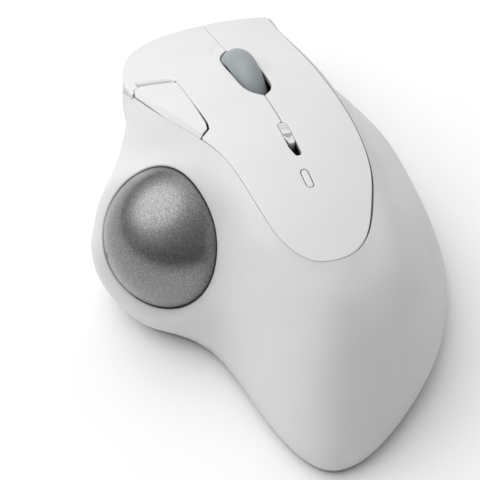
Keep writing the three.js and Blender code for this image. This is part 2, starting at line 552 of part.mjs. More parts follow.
// ---------------------------------------------------------------- scroll wheel
function buildScrollWheel() {
  const atWheel = new THREE.Matrix4().makeRotationZ(Math.PI / 2).setPosition(WHEEL);
  const half = WHEEL_W / 2;
  const inner = HUB_R + 0.2;
  const tread = Array.from({ length: 9 }, (_, i) => (i - 4) * Math.PI / 8.6)
    .map((angle) => [inner + 0.4 + (WHEEL_R - inner - 0.4) * Math.cos(angle), half * Math.sin(angle)]);
  const section = plan([[inner, -half + 0.6], ...tread, [inner, half - 0.6], [inner, -half + 0.6]]);
  const tyre = new THREE.LatheGeometry(section, 40);
  add('scroll_tyre', solid(tyre), tyreGrey, atWheel);
  const hub = new THREE.LatheGeometry(plan([[0, -6.6], [AXLE_R, -6.6], [AXLE_R, -3.4], [3, -3.1], [3, -1],
    [6.8, -1], [6.8, -2.8], [HUB_R, -2.8], [HUB_R, 2.8], [6.8, 2.8], [6.8, 1], [3, 1], [3, 3.1], [AXLE_R, 3.4],
    [AXLE_R, 9.4], [0, 9.4]]), 32);
  hub.rotateZ(-Math.PI / 2);
  add('scroll_hub', solid(hub), darkPlastic, new THREE.Matrix4().setPosition(WHEEL));
  const { x, y, z } = WHEEL;
  const axleHole = rod(x - 9, x + 9, y, z, AXLE_R + 0.3, 16);
  const yoke = joinAll([box(x - 6.4, y - 6, z - 15.2, x + 6.4, y + 6, z - 13.7), box(x - 6.4, y - 6, z - 14.5,
    x - 5, y + 6, z + 2.4), box(x + 5, y - 6, z - 14.5, x + 6.4, y + 6, z + 2.4),
  post(x, y, 10.8, z - 14.5, 1.5, 12)]);
  add('scroll_carrier', yoke.subtract(axleHole), darkPlastic);
  const encoder = box(x + 6.8, y - 5, z - 8, x + 10, y + 5, z + 2.2).subtract(rod(x + 6, x + 11, y, z, AXLE_R + 0.3, 16));
  add('scroll_encoder', encoder, copper);
}

// ---------------------------------------------------------------- switches and boards
function microswitch(name, x, y, bottom, size, height, matrix) {
  const body = box(x - size / 2, y - size / 2, bottom, x + size / 2, y + size / 2, bottom + height - 0.8);
  add(name, body.add(post(x, y, bottom + 0.5, bottom + height, 1, 12)), darkPlastic, matrix);
}

function buildBoards() {
  const mainOutline = padOutline(4.7, 38.4, 23, 42, 2);
  const mainPosts = [[13.5, 20], [-4, 56]].map(([x, y]) => post(x, y, 2, 8, 1.2, 12));
  add('main_board', cutAll(prism(mainOutline, 4, 5.6), mainPosts), boardGreen);
  const keyBoard = prism(padOutline(0.75, 57.8, 28, 11, 1.5), 18.3, 19.9)
    .subtract(box(-6.4, 50, 10, 11.4, 59.8, 30));
  add('key_board', keyBoard, boardGreen);
  for (const [side, [x, y]] of Object.entries(MAIN_SWITCHES)) {
    microswitch(`${side}_microswitch`, x, y, 20.2, 5.6, crown(x, y) - 7.2 - 0.8 - 20.2);
  }
  microswitch('wheel_microswitch', WHEEL.x, WHEEL.y, 5.9, 6, 4.3);
  add('switch_board', prism(padOutline(0.5, 8.5, 8.4, 27, 1), 38.6, 40), boardGreen);
  const slider = box(-1.6, 7, 40.3, 2.4, 19.4, 43.2).subtract(box(-0.5, 8.5, 41, 1.3, 18.4, 50));
  add('speed_switch', slider, steel);
  add('speed_knob', joinAll([box(-0.7, 10.8, 43.6, 1.5, 18.1, crown(0.4, 14.5) + 0.35),
    box(-0.1, 15, 41.4, 0.9, 16.4, 44)]), keyWhite);
  add('indicator_led', box(-1, -2.4, 40.3, 1, 0.6, 42.2), lensWhite);
}

function buildThumbBoard() {
  const tilt = new THREE.Matrix4().makeRotationX(-0.2).setPosition(-20.6, 36, 37.2);
  add('thumb_board', box(-2.4, -10.2, -4.4, 2.4, 10.2, -3.2), boardGreen, tilt);
  microswitch('thumb_microswitch_front', 0, 7.5, -2.9, 4, 3.2, tilt);
  microswitch('thumb_microswitch_rear', 0, -7.6, -2.9, 4, 3.2, tilt);
}

// ---------------------------------------------------------------- battery
function buildBattery() {
  const half = CELL_LENGTH / 2;
  const cell = new THREE.LatheGeometry(plan([[0, -half], [CELL_R - 0.6, -half], [CELL_R, -half + 0.6],
    [CELL_R, half - 2], [CELL_R - 0.8, half - 1.2], [2.7, half - 1.2], [2.7, half], [0, half]]), 28);
  add('aa_cell', solid(cell), cellGreen, new THREE.Matrix4().setPosition(CELL));
  const front = CELL.y + half + 0.5;
  add('contact_plate', box(CELL.x - 4.5, front, CELL.z - 5, CELL.x + 4.5, front + 0.6, CELL.z + 3), copper);
  add('contact_spring', contactSpring(CELL.y - half - 0.4), steel);
  const [x0, y0, x1, y1] = DOOR;
  const door = box(x0 + GAP, y0 + GAP, TRAY_BOTTOM + 0.1, x1 - GAP, y1 - GAP, TRAY_TOP);
  add('battery_door', door.subtract(box(x0 + 5, y0 + 2.5, 0, x1 - 5, y0 + 4, 1.4)), shellWhite);
}

// Coil spring that widens to the rear, on a small plate.
function contactSpring(front) {
  const turns = 3;
  const length = 2.6;
  const steps = 24;
  const points = [];
  for (let i = 0; i <= steps; i += 1) {
    const angle = 2 * Math.PI * turns * i / steps;
    const radius = 2 + 2.6 * i / steps;
    points.push(new THREE.Vector3(CELL.x + radius * Math.cos(angle), front - 0.5 - length * i / steps,
      CELL.z + radius * Math.sin(angle)));
  }
  const wire = new THREE.Shape().absarc(0, 0, 0.35, 0, 2 * Math.PI);
  const path = new THREE.CatmullRomCurve3(points);
  const coil = new THREE.ExtrudeGeometry(wire, { steps: 36, extrudePath: path, curveSegments: 3 });
  return solid(coil).add(box(CELL.x - 5, front - 3.4, CELL.z - 5.5, CELL.x + 4, front - 2.9, CELL.z + 2));
}

// ---------------------------------------------------------------- underside
function buildUnderside() {
  const { x, y } = POWER_KNOB;
  add('power_knob', joinAll([box(x - 1.9, y - 3.3, 0.3, x + 1.9, y + 0.3, 3), box(x - 3.4, y - 5, 2.9, x + 3.4,
    y + 2, 3.6)]), darkPlastic);
  add('mode_button', joinAll([post(MODE_BUTTON.x, MODE_BUTTON.y, 0.4, 3.2, MODE_BUTTON.radius),
    post(MODE_BUTTON.x, MODE_BUTTON.y, 2.9, 3.6, MODE_BUTTON.radius + 1)]), darkPlastic);
  FEET.forEach(([footX, footY, width, length, turn], i) => {
    add(`glide_foot_${i + 1}`, prism(padOutline(footX, footY, width, length, 2.5, turn), 0, 0.9), glideWhite);
  });
  SCREWS.forEach(([screwX, screwY], i) => {
    const driveSlots = [box(screwX - 1.6, screwY - 0.3, 0, screwX + 1.6, screwY + 0.3, 1.9),
      box(screwX - 0.3, screwY - 1.6, 0, screwX + 0.3, screwY + 1.6, 1.9)];
    const screw = post(screwX, screwY, 1.4, 2.7, 2.2, 16).add(post(screwX, screwY, 2.5, 14, 0.95, 12));
    add(`case_screw_${i + 1}`, cutAll(screw, driveSlots), steel);
  });
}

add('upper_shell', upperShell(), shellWhite);
add('base_tray', baseTray(), shellWhite);
buildKeys();
buildThumbKey();
buildBallUnit();
buildScrollWheel();
buildBoards();
buildThumbBoard();
buildBattery();
buildUnderside();

// The middle of the footprint becomes the origin.
const extent = new THREE.Box3().setFromObject(group);
group.position.set(-(extent.min.x + extent.max.x) / 2, -(extent.min.y + extent.max.y) / 2, -extent.min.z);

export default group;
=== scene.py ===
"""Thumb trackball mouse: fine skins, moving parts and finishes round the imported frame.

Lengths are millimetres in the design axes: x = 0 just left of the seam between the keys, y = 0
just ahead of the lamp's middle, z = 0 on the desk. metres() turns them into the frame's own axes.
"""
import json
import bpy
import numpy as np
from mathutils import Matrix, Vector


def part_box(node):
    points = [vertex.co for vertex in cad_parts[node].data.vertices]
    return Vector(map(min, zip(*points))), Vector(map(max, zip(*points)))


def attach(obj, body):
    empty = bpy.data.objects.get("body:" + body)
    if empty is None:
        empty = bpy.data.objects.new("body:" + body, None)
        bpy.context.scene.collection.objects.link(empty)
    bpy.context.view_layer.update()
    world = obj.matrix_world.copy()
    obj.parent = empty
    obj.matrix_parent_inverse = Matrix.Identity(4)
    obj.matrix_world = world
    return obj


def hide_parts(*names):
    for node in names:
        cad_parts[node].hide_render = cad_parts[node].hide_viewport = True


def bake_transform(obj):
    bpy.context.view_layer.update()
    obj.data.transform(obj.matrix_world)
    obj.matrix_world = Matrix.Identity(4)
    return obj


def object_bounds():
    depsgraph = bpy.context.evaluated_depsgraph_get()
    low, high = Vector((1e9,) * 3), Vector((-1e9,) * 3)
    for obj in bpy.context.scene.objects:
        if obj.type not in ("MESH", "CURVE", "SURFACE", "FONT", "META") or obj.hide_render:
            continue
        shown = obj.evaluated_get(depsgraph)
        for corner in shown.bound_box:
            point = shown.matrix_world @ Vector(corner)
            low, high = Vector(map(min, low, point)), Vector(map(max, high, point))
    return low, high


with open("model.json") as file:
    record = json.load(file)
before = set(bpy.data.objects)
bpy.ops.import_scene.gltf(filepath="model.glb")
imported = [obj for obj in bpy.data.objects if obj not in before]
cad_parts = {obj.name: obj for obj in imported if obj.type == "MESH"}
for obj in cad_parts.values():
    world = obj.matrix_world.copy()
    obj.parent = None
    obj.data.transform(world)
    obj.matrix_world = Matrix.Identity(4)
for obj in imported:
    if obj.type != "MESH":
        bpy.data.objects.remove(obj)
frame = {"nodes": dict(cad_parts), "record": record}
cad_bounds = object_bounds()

# ------------------------------------------------------------------ driving values
BALL = np.array([-29.4, 11.3, 24.6])
BALL_R = 18.0
RIM_R = 18.28
RIM_ROUND = 0.45
SEAM_X = 0.75
WHEEL = np.array([SEAM_X, 44.5, 29.5])
WHEEL_R = 12.5
WHEEL_W = 7.2
SEAM_GAP = 0.2
FRONT_SEAM_GAP = 0.11
KEY_ROUND = 0.2
LIP_DEPTH = 8.4
PLATE = 2.0
DECK_DROP = 3.2
SHELL_FOOT = 2.0
SWITCH_SLOT = (-0.85, 1.65, 6.5, 18.6)  # left, right, rear, front
INDICATOR = (0.0, -0.9)
FLEX_START_Y = 5.5
FLEX_END_Y = 13

low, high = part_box("ball")
SHIFT = np.array((low + high) / 2) * 1000 - BALL


def metres(points):
    """Design millimetres to frame metres."""
    return (np.asarray(points, float) + SHIFT) / 1000


# ------------------------------------------------------------------ crown and body surface
def crown(x, y):
    """Height of the top: a ridge line falling to the front and the rear with the square of the
    way, less a slope and a square across, so that it leans to the right."""
    front = np.clip(y - 8, 0, None)
    rear = np.clip(8 - y, 0, None)
    ridge = 48.3 - 0.0072 * front ** 2 / (1 + (front / 95) ** 3) - 0.004 * rear ** 2
    return ridge - 0.16 * x - 0.0045 * x ** 2


# Sections round the body, counter-clockwise from the rear: (x, y, drop below the crown) on the
# edge of the key cover, then points down the flank to the base.
SECTIONS = [
    ((-2.5, -24.6, 0),
     [(-6, -33, 40.5), (-11, -41.5, 31.5), (-15.5, -47, 19), (-18, -49.5, 9), (-18.2, -50, 5),
      (-17.3, -49, 2)]),
    ((4, -23.3, 0),
     [(3.5, -33, 38.5), (1, -43, 28.5), (-3, -50.5, 16), (-4.5, -53.8, 8), (-4.8, -54.2, 5),
      (-4.5, -53, 2)]),
    ((10, -17.5, 0),
     [(13.5, -23, 40.5), (17, -30, 33), (17.8, -35, 22), (18.6, -37.3, 11), (18, -38, 6),
      (17.2, -37, 2)]),
    ((14.5, -8, 0),
     [(18, -10.5, 41.5), (22.5, -13.5, 35.5), (27, -17, 25), (29.5, -19.5, 13), (30, -20.5, 6),
      (29, -19.5, 2)]),
    ((17, 0, 0),
     [(18.6, -0.7, 42.8), (21.5, -2, 37.5), (27, -4.5, 31), (31, -6, 24.5), (32.6, -7, 16),
      (34.5, -8, 8), (35, -8.5, 5), (34, -8, 2)]),
    ((18.4, 12, 0),
     [(19.8, 11.8, 42.8), (21, 11.5, 38.5), (23.5, 10.5, 33.5), (28.5, 8.5, 30), (31.3, 7.5, 25.5),
      (32.2, 7, 18), (35, 7, 10), (38, 7, 5.5), (37, 7, 2)]),
    ((18.6, 28, 0),
     [(20.1, 28, 40), (21, 28, 35.5), (22.5, 27, 31), (27.5, 25, 29), (30.3, 24.5, 25),
      (31.5, 24.5, 18), (34.5, 24, 10), (37.5, 23.5, 5.5), (36.5, 23.5, 2)]),
    ((18.8, 45, 0),
     [(20.3, 45, 33.4), (21, 45, 30), (22.3, 43.5, 27), (24.6, 42, 25.8), (26, 41.5, 22),
      (27.5, 41.5, 15), (30.5, 41, 8), (32.5, 40.5, 5), (31.5, 40.5, 2)]),
    ((19, 62, 0),
     [(19.9, 62, 25), (20.1, 62, 22), (20.4, 62, 17), (21, 61.5, 11), (21.8, 61, 6),
      (21.2, 60.5, 2)]),
    ((19.05, 71, 0.1),
     [(19.3, 71, 20.4), (19.5, 71, 17), (19.9, 70.8, 12), (20.1, 70.4, 7), (19.6, 70, 2)]),
    ((19.1, 77.9, 0.3),
     [(19.3, 77.4, 15.5), (19, 76.5, 12), (18.7, 76, 8), (18.3, 75.5, 5), (17.8, 75, 2)]),
    ((14, 77.1, 6),
     [(14, 77, 12), (14, 76.8, 9), (14, 76.4, 6), (13.8, 76, 2)]),
    ((5, 75.8, 10),
     [(5, 75.7, 9), (5, 75.5, 7), (5, 75.2, 4.5), (5, 74.8, 2)]),
    ((-12, 72.3, 9),
     [(-12, 72.3, 12), (-12, 72, 8), (-11.8, 71.6, 5), (-11.5, 71.2, 2)]),
    ((-24.2, 64.3, 4.5),
     [(-24.5, 64.5, 22), (-24, 64, 15), (-23, 63.5, 8), (-22, 63, 2)]),
    ((-27.6, 52.5, 3),
     [(-28.7, 53, 28), (-28.2, 53.5, 22), (-27, 54.5, 14), (-25.5, 56, 7), (-24.5, 56.5, 2)]),
    ((-28.2, 47.4, 1.25),
     [(-29.5, 47.3, 33.7), (-29.8, 47.3, 29.5), (-29.6, 47.5, 24), (-28.5, 48.8, 15), (-27, 50.5, 7),
      (-26, 51.8, 2)]),
    ((-27.24, 42.1, 1.15),
     [(-29.9, 41.6, 36.6), (-32.6, 41, 31), (-33.8, 41, 27), (-33.3, 42, 20), (-30.5, 44.5, 9),
      (-28, 47, 2)]),
    ((-24.68, 31.62, 1.15),
     [(-27.2, 31, 41.2), (-31, 30.5, 36.5), (-37.5, 31, 31.5), (-41, 31, 28), (-41.2, 31.5, 22),
      (-38, 33, 11), (-34, 36, 2)]),
    ((-20.05, 19.1, 0.5),
     [(-23, 19.6, 45.5), (-27, 20.5, 41.8), (-33, 22.5, 37), (-38.3, 25.3, 33.1), (-43.8, 25, 28.5),
      (-46, 24.5, 25.5), (-46.5, 24.8, 20), (-44.5, 26, 10), (-40, 28.5, 2)]),
    ((-16.8, 9, 0),
     [(-19, 8.8, 48.4), (-24, 10, 43.2), (-31, 12.5, 34), (-40, 14.5, 26), (-46.3, 15, 22.5),
      (-49.2, 14.7, 20.5), (-49.7, 14.9, 15), (-47, 16, 7.5), (-43, 18, 2)]),
    ((-15.2, -2, 0),
     [(-18, -1, 47.5), (-22.9, 0.8, 39.5), (-29, 2.5, 28), (-38, 4, 18.5), (-42.4, 2.9, 14.2),
      (-45.3, 3.1, 12.3), (-44.8, 3.6, 9.5), (-42.6, 4.6, 5), (-40.6, 6.3, 2)]),
    ((-14.2, -9.5, 0),
     [(-17, -9.3, 46.3), (-22, -8, 37.5), (-25.8, -7.5, 29), (-29.2, -7.4, 22.7),
      (-33.5, -6.8, 16.8), (-37.3, -4.8, 12), (-38.4, -3.6, 9), (-36.8, -2, 5.5), (-34.6, -0.3, 2)]),
    ((-12.4, -17, 0),
     [(-16, -17.5, 44.3), (-20.5, -17.2, 36), (-24, -16.3, 26), (-26.6, -14.3, 15.5),
      (-28.2, -12, 8), (-27.9, -11.4, 5), (-27, -10.6, 2)]),
    ((-8, -23, 0),
     [(-12, -26.5, 42.5), (-17, -30, 34.5), (-21, -31.5, 23), (-23.4, -31.5, 12), (-23.8, -31.5, 6),
      (-22.8, -31, 2)]),
]
ROWS = 13
SMOOTHING_PASSES = 6
CURVE_STEPS = 24
EDGE_FIX_REACH = 0.2


def even_points(points, count):
    """Points evenly spaced along a smooth curve: cubic pieces whose tangents weigh the chords
    on either side by the square root of their lengths."""
    points = np.asarray(points, float)
    chords = np.linalg.norm(np.diff(points, axis=0), axis=1)
    knots = np.concatenate([[0], np.cumsum(np.sqrt(chords))])
    step = np.diff(knots)[:, None]
    slope = np.diff(points, axis=0) / step
    tangent = np.empty_like(points)
    tangent[1:-1] = (slope[1:] * step[:-1] + slope[:-1] * step[1:]) / (step[1:] + step[:-1])
    tangent[0] = slope[0]
    tangent[-1] = slope[-1]
    t = np.linspace(0, knots[-1], CURVE_STEPS * len(points))
    k = np.clip(np.searchsorted(knots, t, side="right") - 1, 0, len(points) - 2)
    h = step[k]
    s = (t - knots[k])[:, None] / h
    curve = ((2 * s ** 3 - 3 * s ** 2 + 1) * points[k] + (s ** 3 - 2 * s ** 2 + s) * h * tangent[k]
             + (3 * s ** 2 - 2 * s ** 3) * points[k + 1] + (s ** 3 - s ** 2) * h * tangent[k + 1])
    length = np.concatenate([[0], np.cumsum(np.linalg.norm(np.diff(curve, axis=0), axis=1))])
    even = np.linspace(0, length[-1], count)
    return np.stack([np.interp(even, length, curve[:, i]) for i in range(points.shape[1])], 1)


def through(points):
    """Controls of a closed smooth curve that passes over the points, by repeated correction."""
    controls = points.copy()
    for _ in range(SMOOTHING_PASSES):
        blended = (np.roll(controls, 1, 0) + 4 * controls + np.roll(controls, -1, 0)) / 6
        controls = controls + points - blended
    return controls


def control_net():
    """Rows of controls down every section, with one extra row beyond each end."""
    rows = [even_points([(x, y, crown(x, y) - drop)] + flank, ROWS) for (x, y, drop), flank in SECTIONS]
    net = through(np.array(rows))
    return np.concatenate([2 * net[:, :1] - net[:, 1:2], net, 2 * net[:, -1:] - net[:, -2:-1]], 1)


NET = control_net()
DROPS = through(np.array([edge[2] for edge, _ in SECTIONS], float))


def cubic_weights(t):
    """Weights of the four controls round a parameter, for a uniform cubic curve."""
    return np.stack([(1 - t) ** 3, 3 * t ** 3 - 6 * t ** 2 + 4, -3 * t ** 3 + 3 * t ** 2 + 3 * t + 1,
                     t ** 3], -1) / 6


def body_point(u, v):
    """Body surface. u counts sections round the body, v runs from 0 at the key cover to 1 at the
    foot; the point is the weighted sum of the 4 by 4 controls round (u, v). Near v = 0 the height
    is corrected so that the edge follows the crown at its stated drop."""
    section = np.floor(u).astype(int)
    row_at = np.clip(v, 0, 1) * (ROWS - 1)
    row = np.minimum(np.floor(row_at).astype(int), ROWS - 2)
    across = cubic_weights(u - section)
    down = cubic_weights(row_at - row)
    point = np.zeros(u.shape + (3,))
    edge = np.zeros(u.shape + (3,))
    drop = np.zeros(u.shape)
    at_edge = cubic_weights(np.zeros(u.shape))
    for a in range(4):
        column = (section - 1 + a) % len(SECTIONS)
        drop += across[..., a] * DROPS[column]
        for b in range(4):
            point += (across[..., a] * down[..., b])[..., None] * NET[column, row + b]
            edge += (across[..., a] * at_edge[..., b])[..., None] * NET[column, b]
    fix = crown(edge[..., 0], edge[..., 1]) - drop - edge[..., 2]
    point[..., 2] += fix * np.clip(1 - v / EDGE_FIX_REACH, 0, 1) ** 2
    return point


def round_the_body(count):
    """Section numbers of evenly spaced places, once round the body."""
    return np.arange(count) * len(SECTIONS) / count


BOX_LOW, BOX_HIGH = (np.array(corner) * 1000 - SHIFT for corner in cad_bounds)
SOFTNESS = 0.3


def within_box(points):
    """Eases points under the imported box's sides: the room left to a side becomes half of itself
    plus the root of its square plus a small square, so it never drops under zero."""
    eased = points.copy()
    for axis in (0, 1):
        for side, sign in ((BOX_HIGH[axis], 1), (BOX_LOW[axis], -1)):
            room = sign * (side - eased[:, axis])
            room = (room + np.sqrt(room ** 2 + 4 * SOFTNESS ** 2)) / 2 - SOFTNESS ** 2 / (
                np.abs(room) + 1)
            eased[:, axis] = side - sign * room
    return eased


# ------------------------------------------------------------------ trimmed grids
HALF_CELL = 0.5001
PROBE = 0.02


def shifted(values, di, dj, wrap):
    """Neighbour values of a grid; outside an open edge the grid's own values are repeated."""
    if di:
        moved = np.roll(values, -di, 0)
        if not wrap:
            edge = -1 if di > 0 else 0
            moved[edge] = values[edge]
        return moved
    moved = np.roll(values, -dj, 1)
    edge = -1 if dj > 0 else 0
    moved[:, edge] = values[:, edge]
    return moved


def trim(level, shape, wrap=False):
    """Cuts a grid along level = 0 and keeps the positive side. level takes grid indices i, j.
    Every grid edge that crosses zero has its nearer end moved onto the crossing, which two
    straight-line steps then sharpen, and faces whose corners are all kept or moved stay. Returns
    i, j of the vertices, quads, triangles and which vertices were moved."""
    i, j = np.meshgrid(np.arange(shape[0]), np.arange(shape[1]), indexing="ij")
    value = level(i.astype(float), j.astype(float))
    near = np.full(shape, HALF_CELL)
    move_i = np.zeros(shape)
    move_j = np.zeros(shape)
    for di, dj in ((1, 0), (-1, 0), (0, 1), (0, -1)):
        other = shifted(value, di, dj, wrap)
        crossing = (value >= 0) != (other >= 0)
        share = np.where(crossing, value / np.where(crossing, value - other, 1), 2)
        closer = share < near
        near = np.where(closer, share, near)
        move_i = np.where(closer, share * di, move_i)
        move_j = np.where(closer, share * dj, move_j)
    moved = near < HALF_CELL
    i = i + move_i
    j = j + move_j
    step_i = PROBE * np.sign(move_i[moved])
    step_j = PROBE * np.sign(move_j[moved])
    for _ in range(2):
        here = level(i[moved], j[moved])
        slope = level(i[moved] + step_i, j[moved] + step_j) - here
        use = np.abs(slope) > 1e-6
        back = np.clip(np.where(use, here / np.where(use, slope, 1), 0), -10, 10)
        i[moved] -= back * step_i
        j[moved] -= back * step_j
    keep = (value >= 0) | moved
    index = np.arange(shape[0] * shape[1]).reshape(shape)

    def corners(array):
        right = np.roll(array, -1, 0) if wrap else array[1:]
        left = array if wrap else array[:-1]
        return np.stack([left[:, :-1], right[:, :-1], right[:, 1:], left[:, 1:]], -1).reshape(-1, 4)

    cells = corners(index)
    kept = corners(keep)
    quads = cells[kept.all(1)]
    three = kept.sum(1) == 3
    triangles = cells[three][kept[three]].reshape(-1, 3)
    flat_i = i.ravel()
    flat_j = j.ravel()

    def in_reach(faces):
        mid_i = flat_i[faces].mean(1)
        if wrap:
            first = flat_i[faces[:, :1]]
            offset = (flat_i[faces] - first + shape[0] / 2) % shape[0] - shape[0] / 2
            mid_i = first[:, 0] + offset.mean(1)
        return level(mid_i, flat_j[faces].mean(1)) > -1e-3

    all_moved = moved.ravel()
    risky = all_moved[quads].all(1)
    quads = quads[~risky | in_reach(quads)]
    triangles = triangles[in_reach(triangles)]
    return flat_i, flat_j, quads, triangles, all_moved


def boundary_edges(quads, triangles, allowed):
    """Directed edges that only one face uses, between allowed vertices."""
    loops = [np.stack([faces, np.roll(faces, -1, 1)], -1).reshape(-1, 2)
             for faces in (quads, triangles) if len(faces)]
    edges = np.concatenate(loops)
    key = np.sort(edges, 1)
    flat = key[:, 0].astype(np.int64) * (edges.max() + 1) + key[:, 1]
    _, place, count = np.unique(flat, return_index=True, return_counts=True)
    single = edges[place[count == 1]]
    return single[allowed[single].all(1)]


def unit(vectors):
    """Vectors scaled to length one."""
    return vectors / np.maximum(np.linalg.norm(vectors, axis=-1, keepdims=True), 1e-9)


def carry_rows(points, faces, edges, rows, last=None):
    """Joins rows of points one after another to the boundary edges. A row holds one point for each
    boundary vertex; last gives the existing vertices that the final row is joined to."""
    rim, place = np.unique(edges, return_inverse=True)
    place = place.reshape(edges.shape)
    parts = [points]
    before = rim
    start = len(points)
    rings = list(rows) + ([None] if last is not None else [])
    for row in rings:
        current = last[rim] if row is None else start + np.arange(len(rim))
        faces = faces + [np.stack([before[place[:, 1]], before[place[:, 0]], current[place[:, 0]],
                                   current[place[:, 1]]], 1)]
        if row is not None:
            parts.append(row)
            start += len(rim)
        before = current
    return np.concatenate(parts), faces


def put_in_scene(name, data):
    """Object for a mesh, lamp or camera, linked to the scene."""
    thing = bpy.data.objects.new(name, data)
    bpy.context.scene.collection.objects.link(thing)
    return thing


def make_piece(name, points, faces):
    """Mesh object from design points and lists of faces, with unused points dropped."""
    used = np.unique(np.concatenate([np.ravel(block) for block in faces]))
    order = np.full(len(points), -1)
    order[used] = np.arange(len(used))
    mesh = bpy.data.meshes.new(name)
    mesh.from_pydata(metres(points[used]).tolist(), [],
                     [face for block in faces for face in order[block].tolist()])
    mesh.polygons.foreach_set("use_smooth", np.full(len(mesh.polygons), True))
    mesh.update()
    return put_in_scene(name, mesh)


def sharpen(piece, degrees=40):
    """Marks edges that turn by more than an angle as sharp, so flats stay flat."""
    piece.data.set_sharp_from_angle(angle=np.radians(degrees))


# ------------------------------------------------------------------ plan outlines and distances
FRONT_EDGE = [(18.7, 78.3), (8, 77.6), (0, 76.5), (-8.3, 75.1), (-14.4, 73.4), (-19.2, 70.9),
              (-23.4, 66.8), (-26.6, 60.2), (-28.1, 54), (-28.5, 48.2)]
THUMB_EDGE = [(-28.6, 46.8), (-26.9, 42), (-24.3, 31.6), (-19.9, 20)]
NARROW_GAP = 0.15
WIDE_GAP = 0.45
WIDE_GAP_AT = (13, -11)
GAP_SPREAD = 12.0
# Thumb key, counter-clockwise from its rear tip; its front edge is the stretch FRONT_OF_KITE.
KITE = [(-19.9, 20), (-17.4, 22.2), (-17, 24.5), (-16.9, 45.6), (-17.6, 46.9), (-25.4, 49.7),
        (-27.3, 48.6), (-27.9, 46.3), (-26.9, 42), (-24.3, 31.6)]
FRONT_OF_KITE = KITE[4:6]


def edge_gap(x, y):
    """Gap between the key cover and the shell: fine, growing as a bell towards the rear right
    corner."""
    away = (x - WIDE_GAP_AT[0]) ** 2 + (y - WIDE_GAP_AT[1]) ** 2
    near_corner = np.exp(-away / GAP_SPREAD ** 2)
    return NARROW_GAP + (WIDE_GAP - NARROW_GAP) * near_corner


def cover_outline():
    """Outline of the key cover: its front and thumb sides are given, and the rest follows the
    shell's top edge at the gap's distance."""
    fine = 16
    u = np.arange(fine * len(SECTIONS)) / fine
    edge = body_point(u, np.zeros(len(u)))[:, :2]
    along = np.roll(edge, -1, 0) - np.roll(edge, 1, 0)
    along /= np.linalg.norm(along, axis=1, keepdims=True)
    inset = edge + edge_gap(*edge.T)[:, None] * np.stack([-along[:, 1], along[:, 0]], 1)
    names = [corner[:2] for corner, _ in SECTIONS]
    front = fine * names.index((19.05, 71)) + 1
    thumb = fine * names.index((-20.05, 19.1))
    return np.concatenate([even_points(FRONT_EDGE, 60), THUMB_EDGE, inset[thumb:], inset[:front]])


COVER = cover_outline()


def inside_distance(x, y, outline):
    """Distance to an outline: to the nearest of its straight stretches, positive inside."""
    nearest = np.full(np.shape(x), 1e9)
    inside = np.zeros(np.shape(x), bool)
    for (ax, ay), (bx, by) in zip(outline, np.roll(outline, -1, 0)):
        ex, ey = bx - ax, by - ay
        along = np.clip(((x - ax) * ex + (y - ay) * ey) / (ex * ex + ey * ey), 0, 1)
        nearest = np.minimum(nearest, np.hypot(x - ax - along * ex, y - ay - along * ey))
        if ey:
            inside ^= ((ay > y) != (by > y)) & (x < ax + (y - ay) * ex / ey)
    return np.where(inside, nearest, -nearest)


def pad_distance(x, y, middle, width, length, corner, turn=0):
    """Distance to a rectangle with round corners, turned about its middle, positive inside."""
    c, s = np.cos(turn), np.sin(turn)
    across = np.abs((x - middle[0]) * c + (y - middle[1]) * s) - width / 2 + corner
    along = np.abs((y - middle[1]) * c - (x - middle[0]) * s) - length / 2 + corner
    outside = np.hypot(np.maximum(across, 0), np.maximum(along, 0))
    return corner - outside - np.minimum(np.maximum(across, along), 0)


def ease(share):
    """Share from 0 to 1 with a level start and end: three squares less two cubes."""
    return share * share * (3 - 2 * share)


def even(value):
    """Depth or height that is the same everywhere."""
    return lambda x, y: np.full(np.shape(x), value)


def soft_min(a, b, width):
    """Smaller of two values, with the corner between them rounded over a width."""
    share = np.clip(0.5 + (b - a) / (2 * width), 0, 1)
    return b + (a - b) * share - width * share * (1 - share)


def slab(middle, size, pitch, level, top, depth, rounding, round_below=False, steps=4,
         thick=PLATE):
    """Plate trimmed to level > 0: a square grid at height top(x, y), a quarter round down to the
    outline, a side wall of the given depth and the same grid again below, facing down. With
    round_below the lower edge is a quarter round too and the lower grid lies at that depth;
    otherwise the lower grid lies thick below the top."""
    counts = (int(size[0] / pitch) + 1, int(size[1] / pitch) + 1)
    x0, y0 = middle[0] - size[0] / 2, middle[1] - size[1] / 2

    def place(i, j):
        return x0 + pitch * i, y0 + pitch * j

    i, j, quads, triangles, moved = trim(lambda i, j: level(*place(i, j)) - rounding, counts)
    x, y = place(i, j)
    edges = boundary_edges(quads, triangles, moved)
    rim = np.unique(edges)
    rx, ry = x[rim], y[rim]
    reach = 0.03
    slope = unit(np.stack([level(rx + reach, ry) - level(rx - reach, ry),
                           level(rx, ry + reach) - level(rx, ry - reach)], 1))
    rows = []

    def row(out, down, below):
        px, py = rx - slope[:, 0] * out, ry - slope[:, 1] * out
        base = top(px, py) - (depth(px, py) if below else 0)
        return np.stack([px, py, base - down], 1)

    for k in range(1, steps + 1):
        angle = k * np.pi / 2 / steps
        rows.append(row(rounding * np.sin(angle), rounding * (1 - np.cos(angle)), False))
    if round_below:
        for k in range(steps, 0, -1):
            angle = k * np.pi / 2 / steps
            rows.append(row(rounding * np.sin(angle), -rounding * (1 - np.cos(angle)), True))
    else:
        rows.append(row(rounding, 0, True))
        rows.append(row(0, 0, True))
    count = len(x)
    upper = np.stack([x, y, top(x, y)], 1)
    lower = np.stack([x, y, top(x, y) - (depth(x, y) if round_below else thick)], 1)
    points = np.concatenate([upper, lower])
    faces = [quads, triangles, quads[:, ::-1] + count, triangles[:, ::-1] + count]
    points, faces = carry_rows(points, faces, edges, rows, last=np.arange(count) + count)
    return points, [block for block in faces if len(block)]


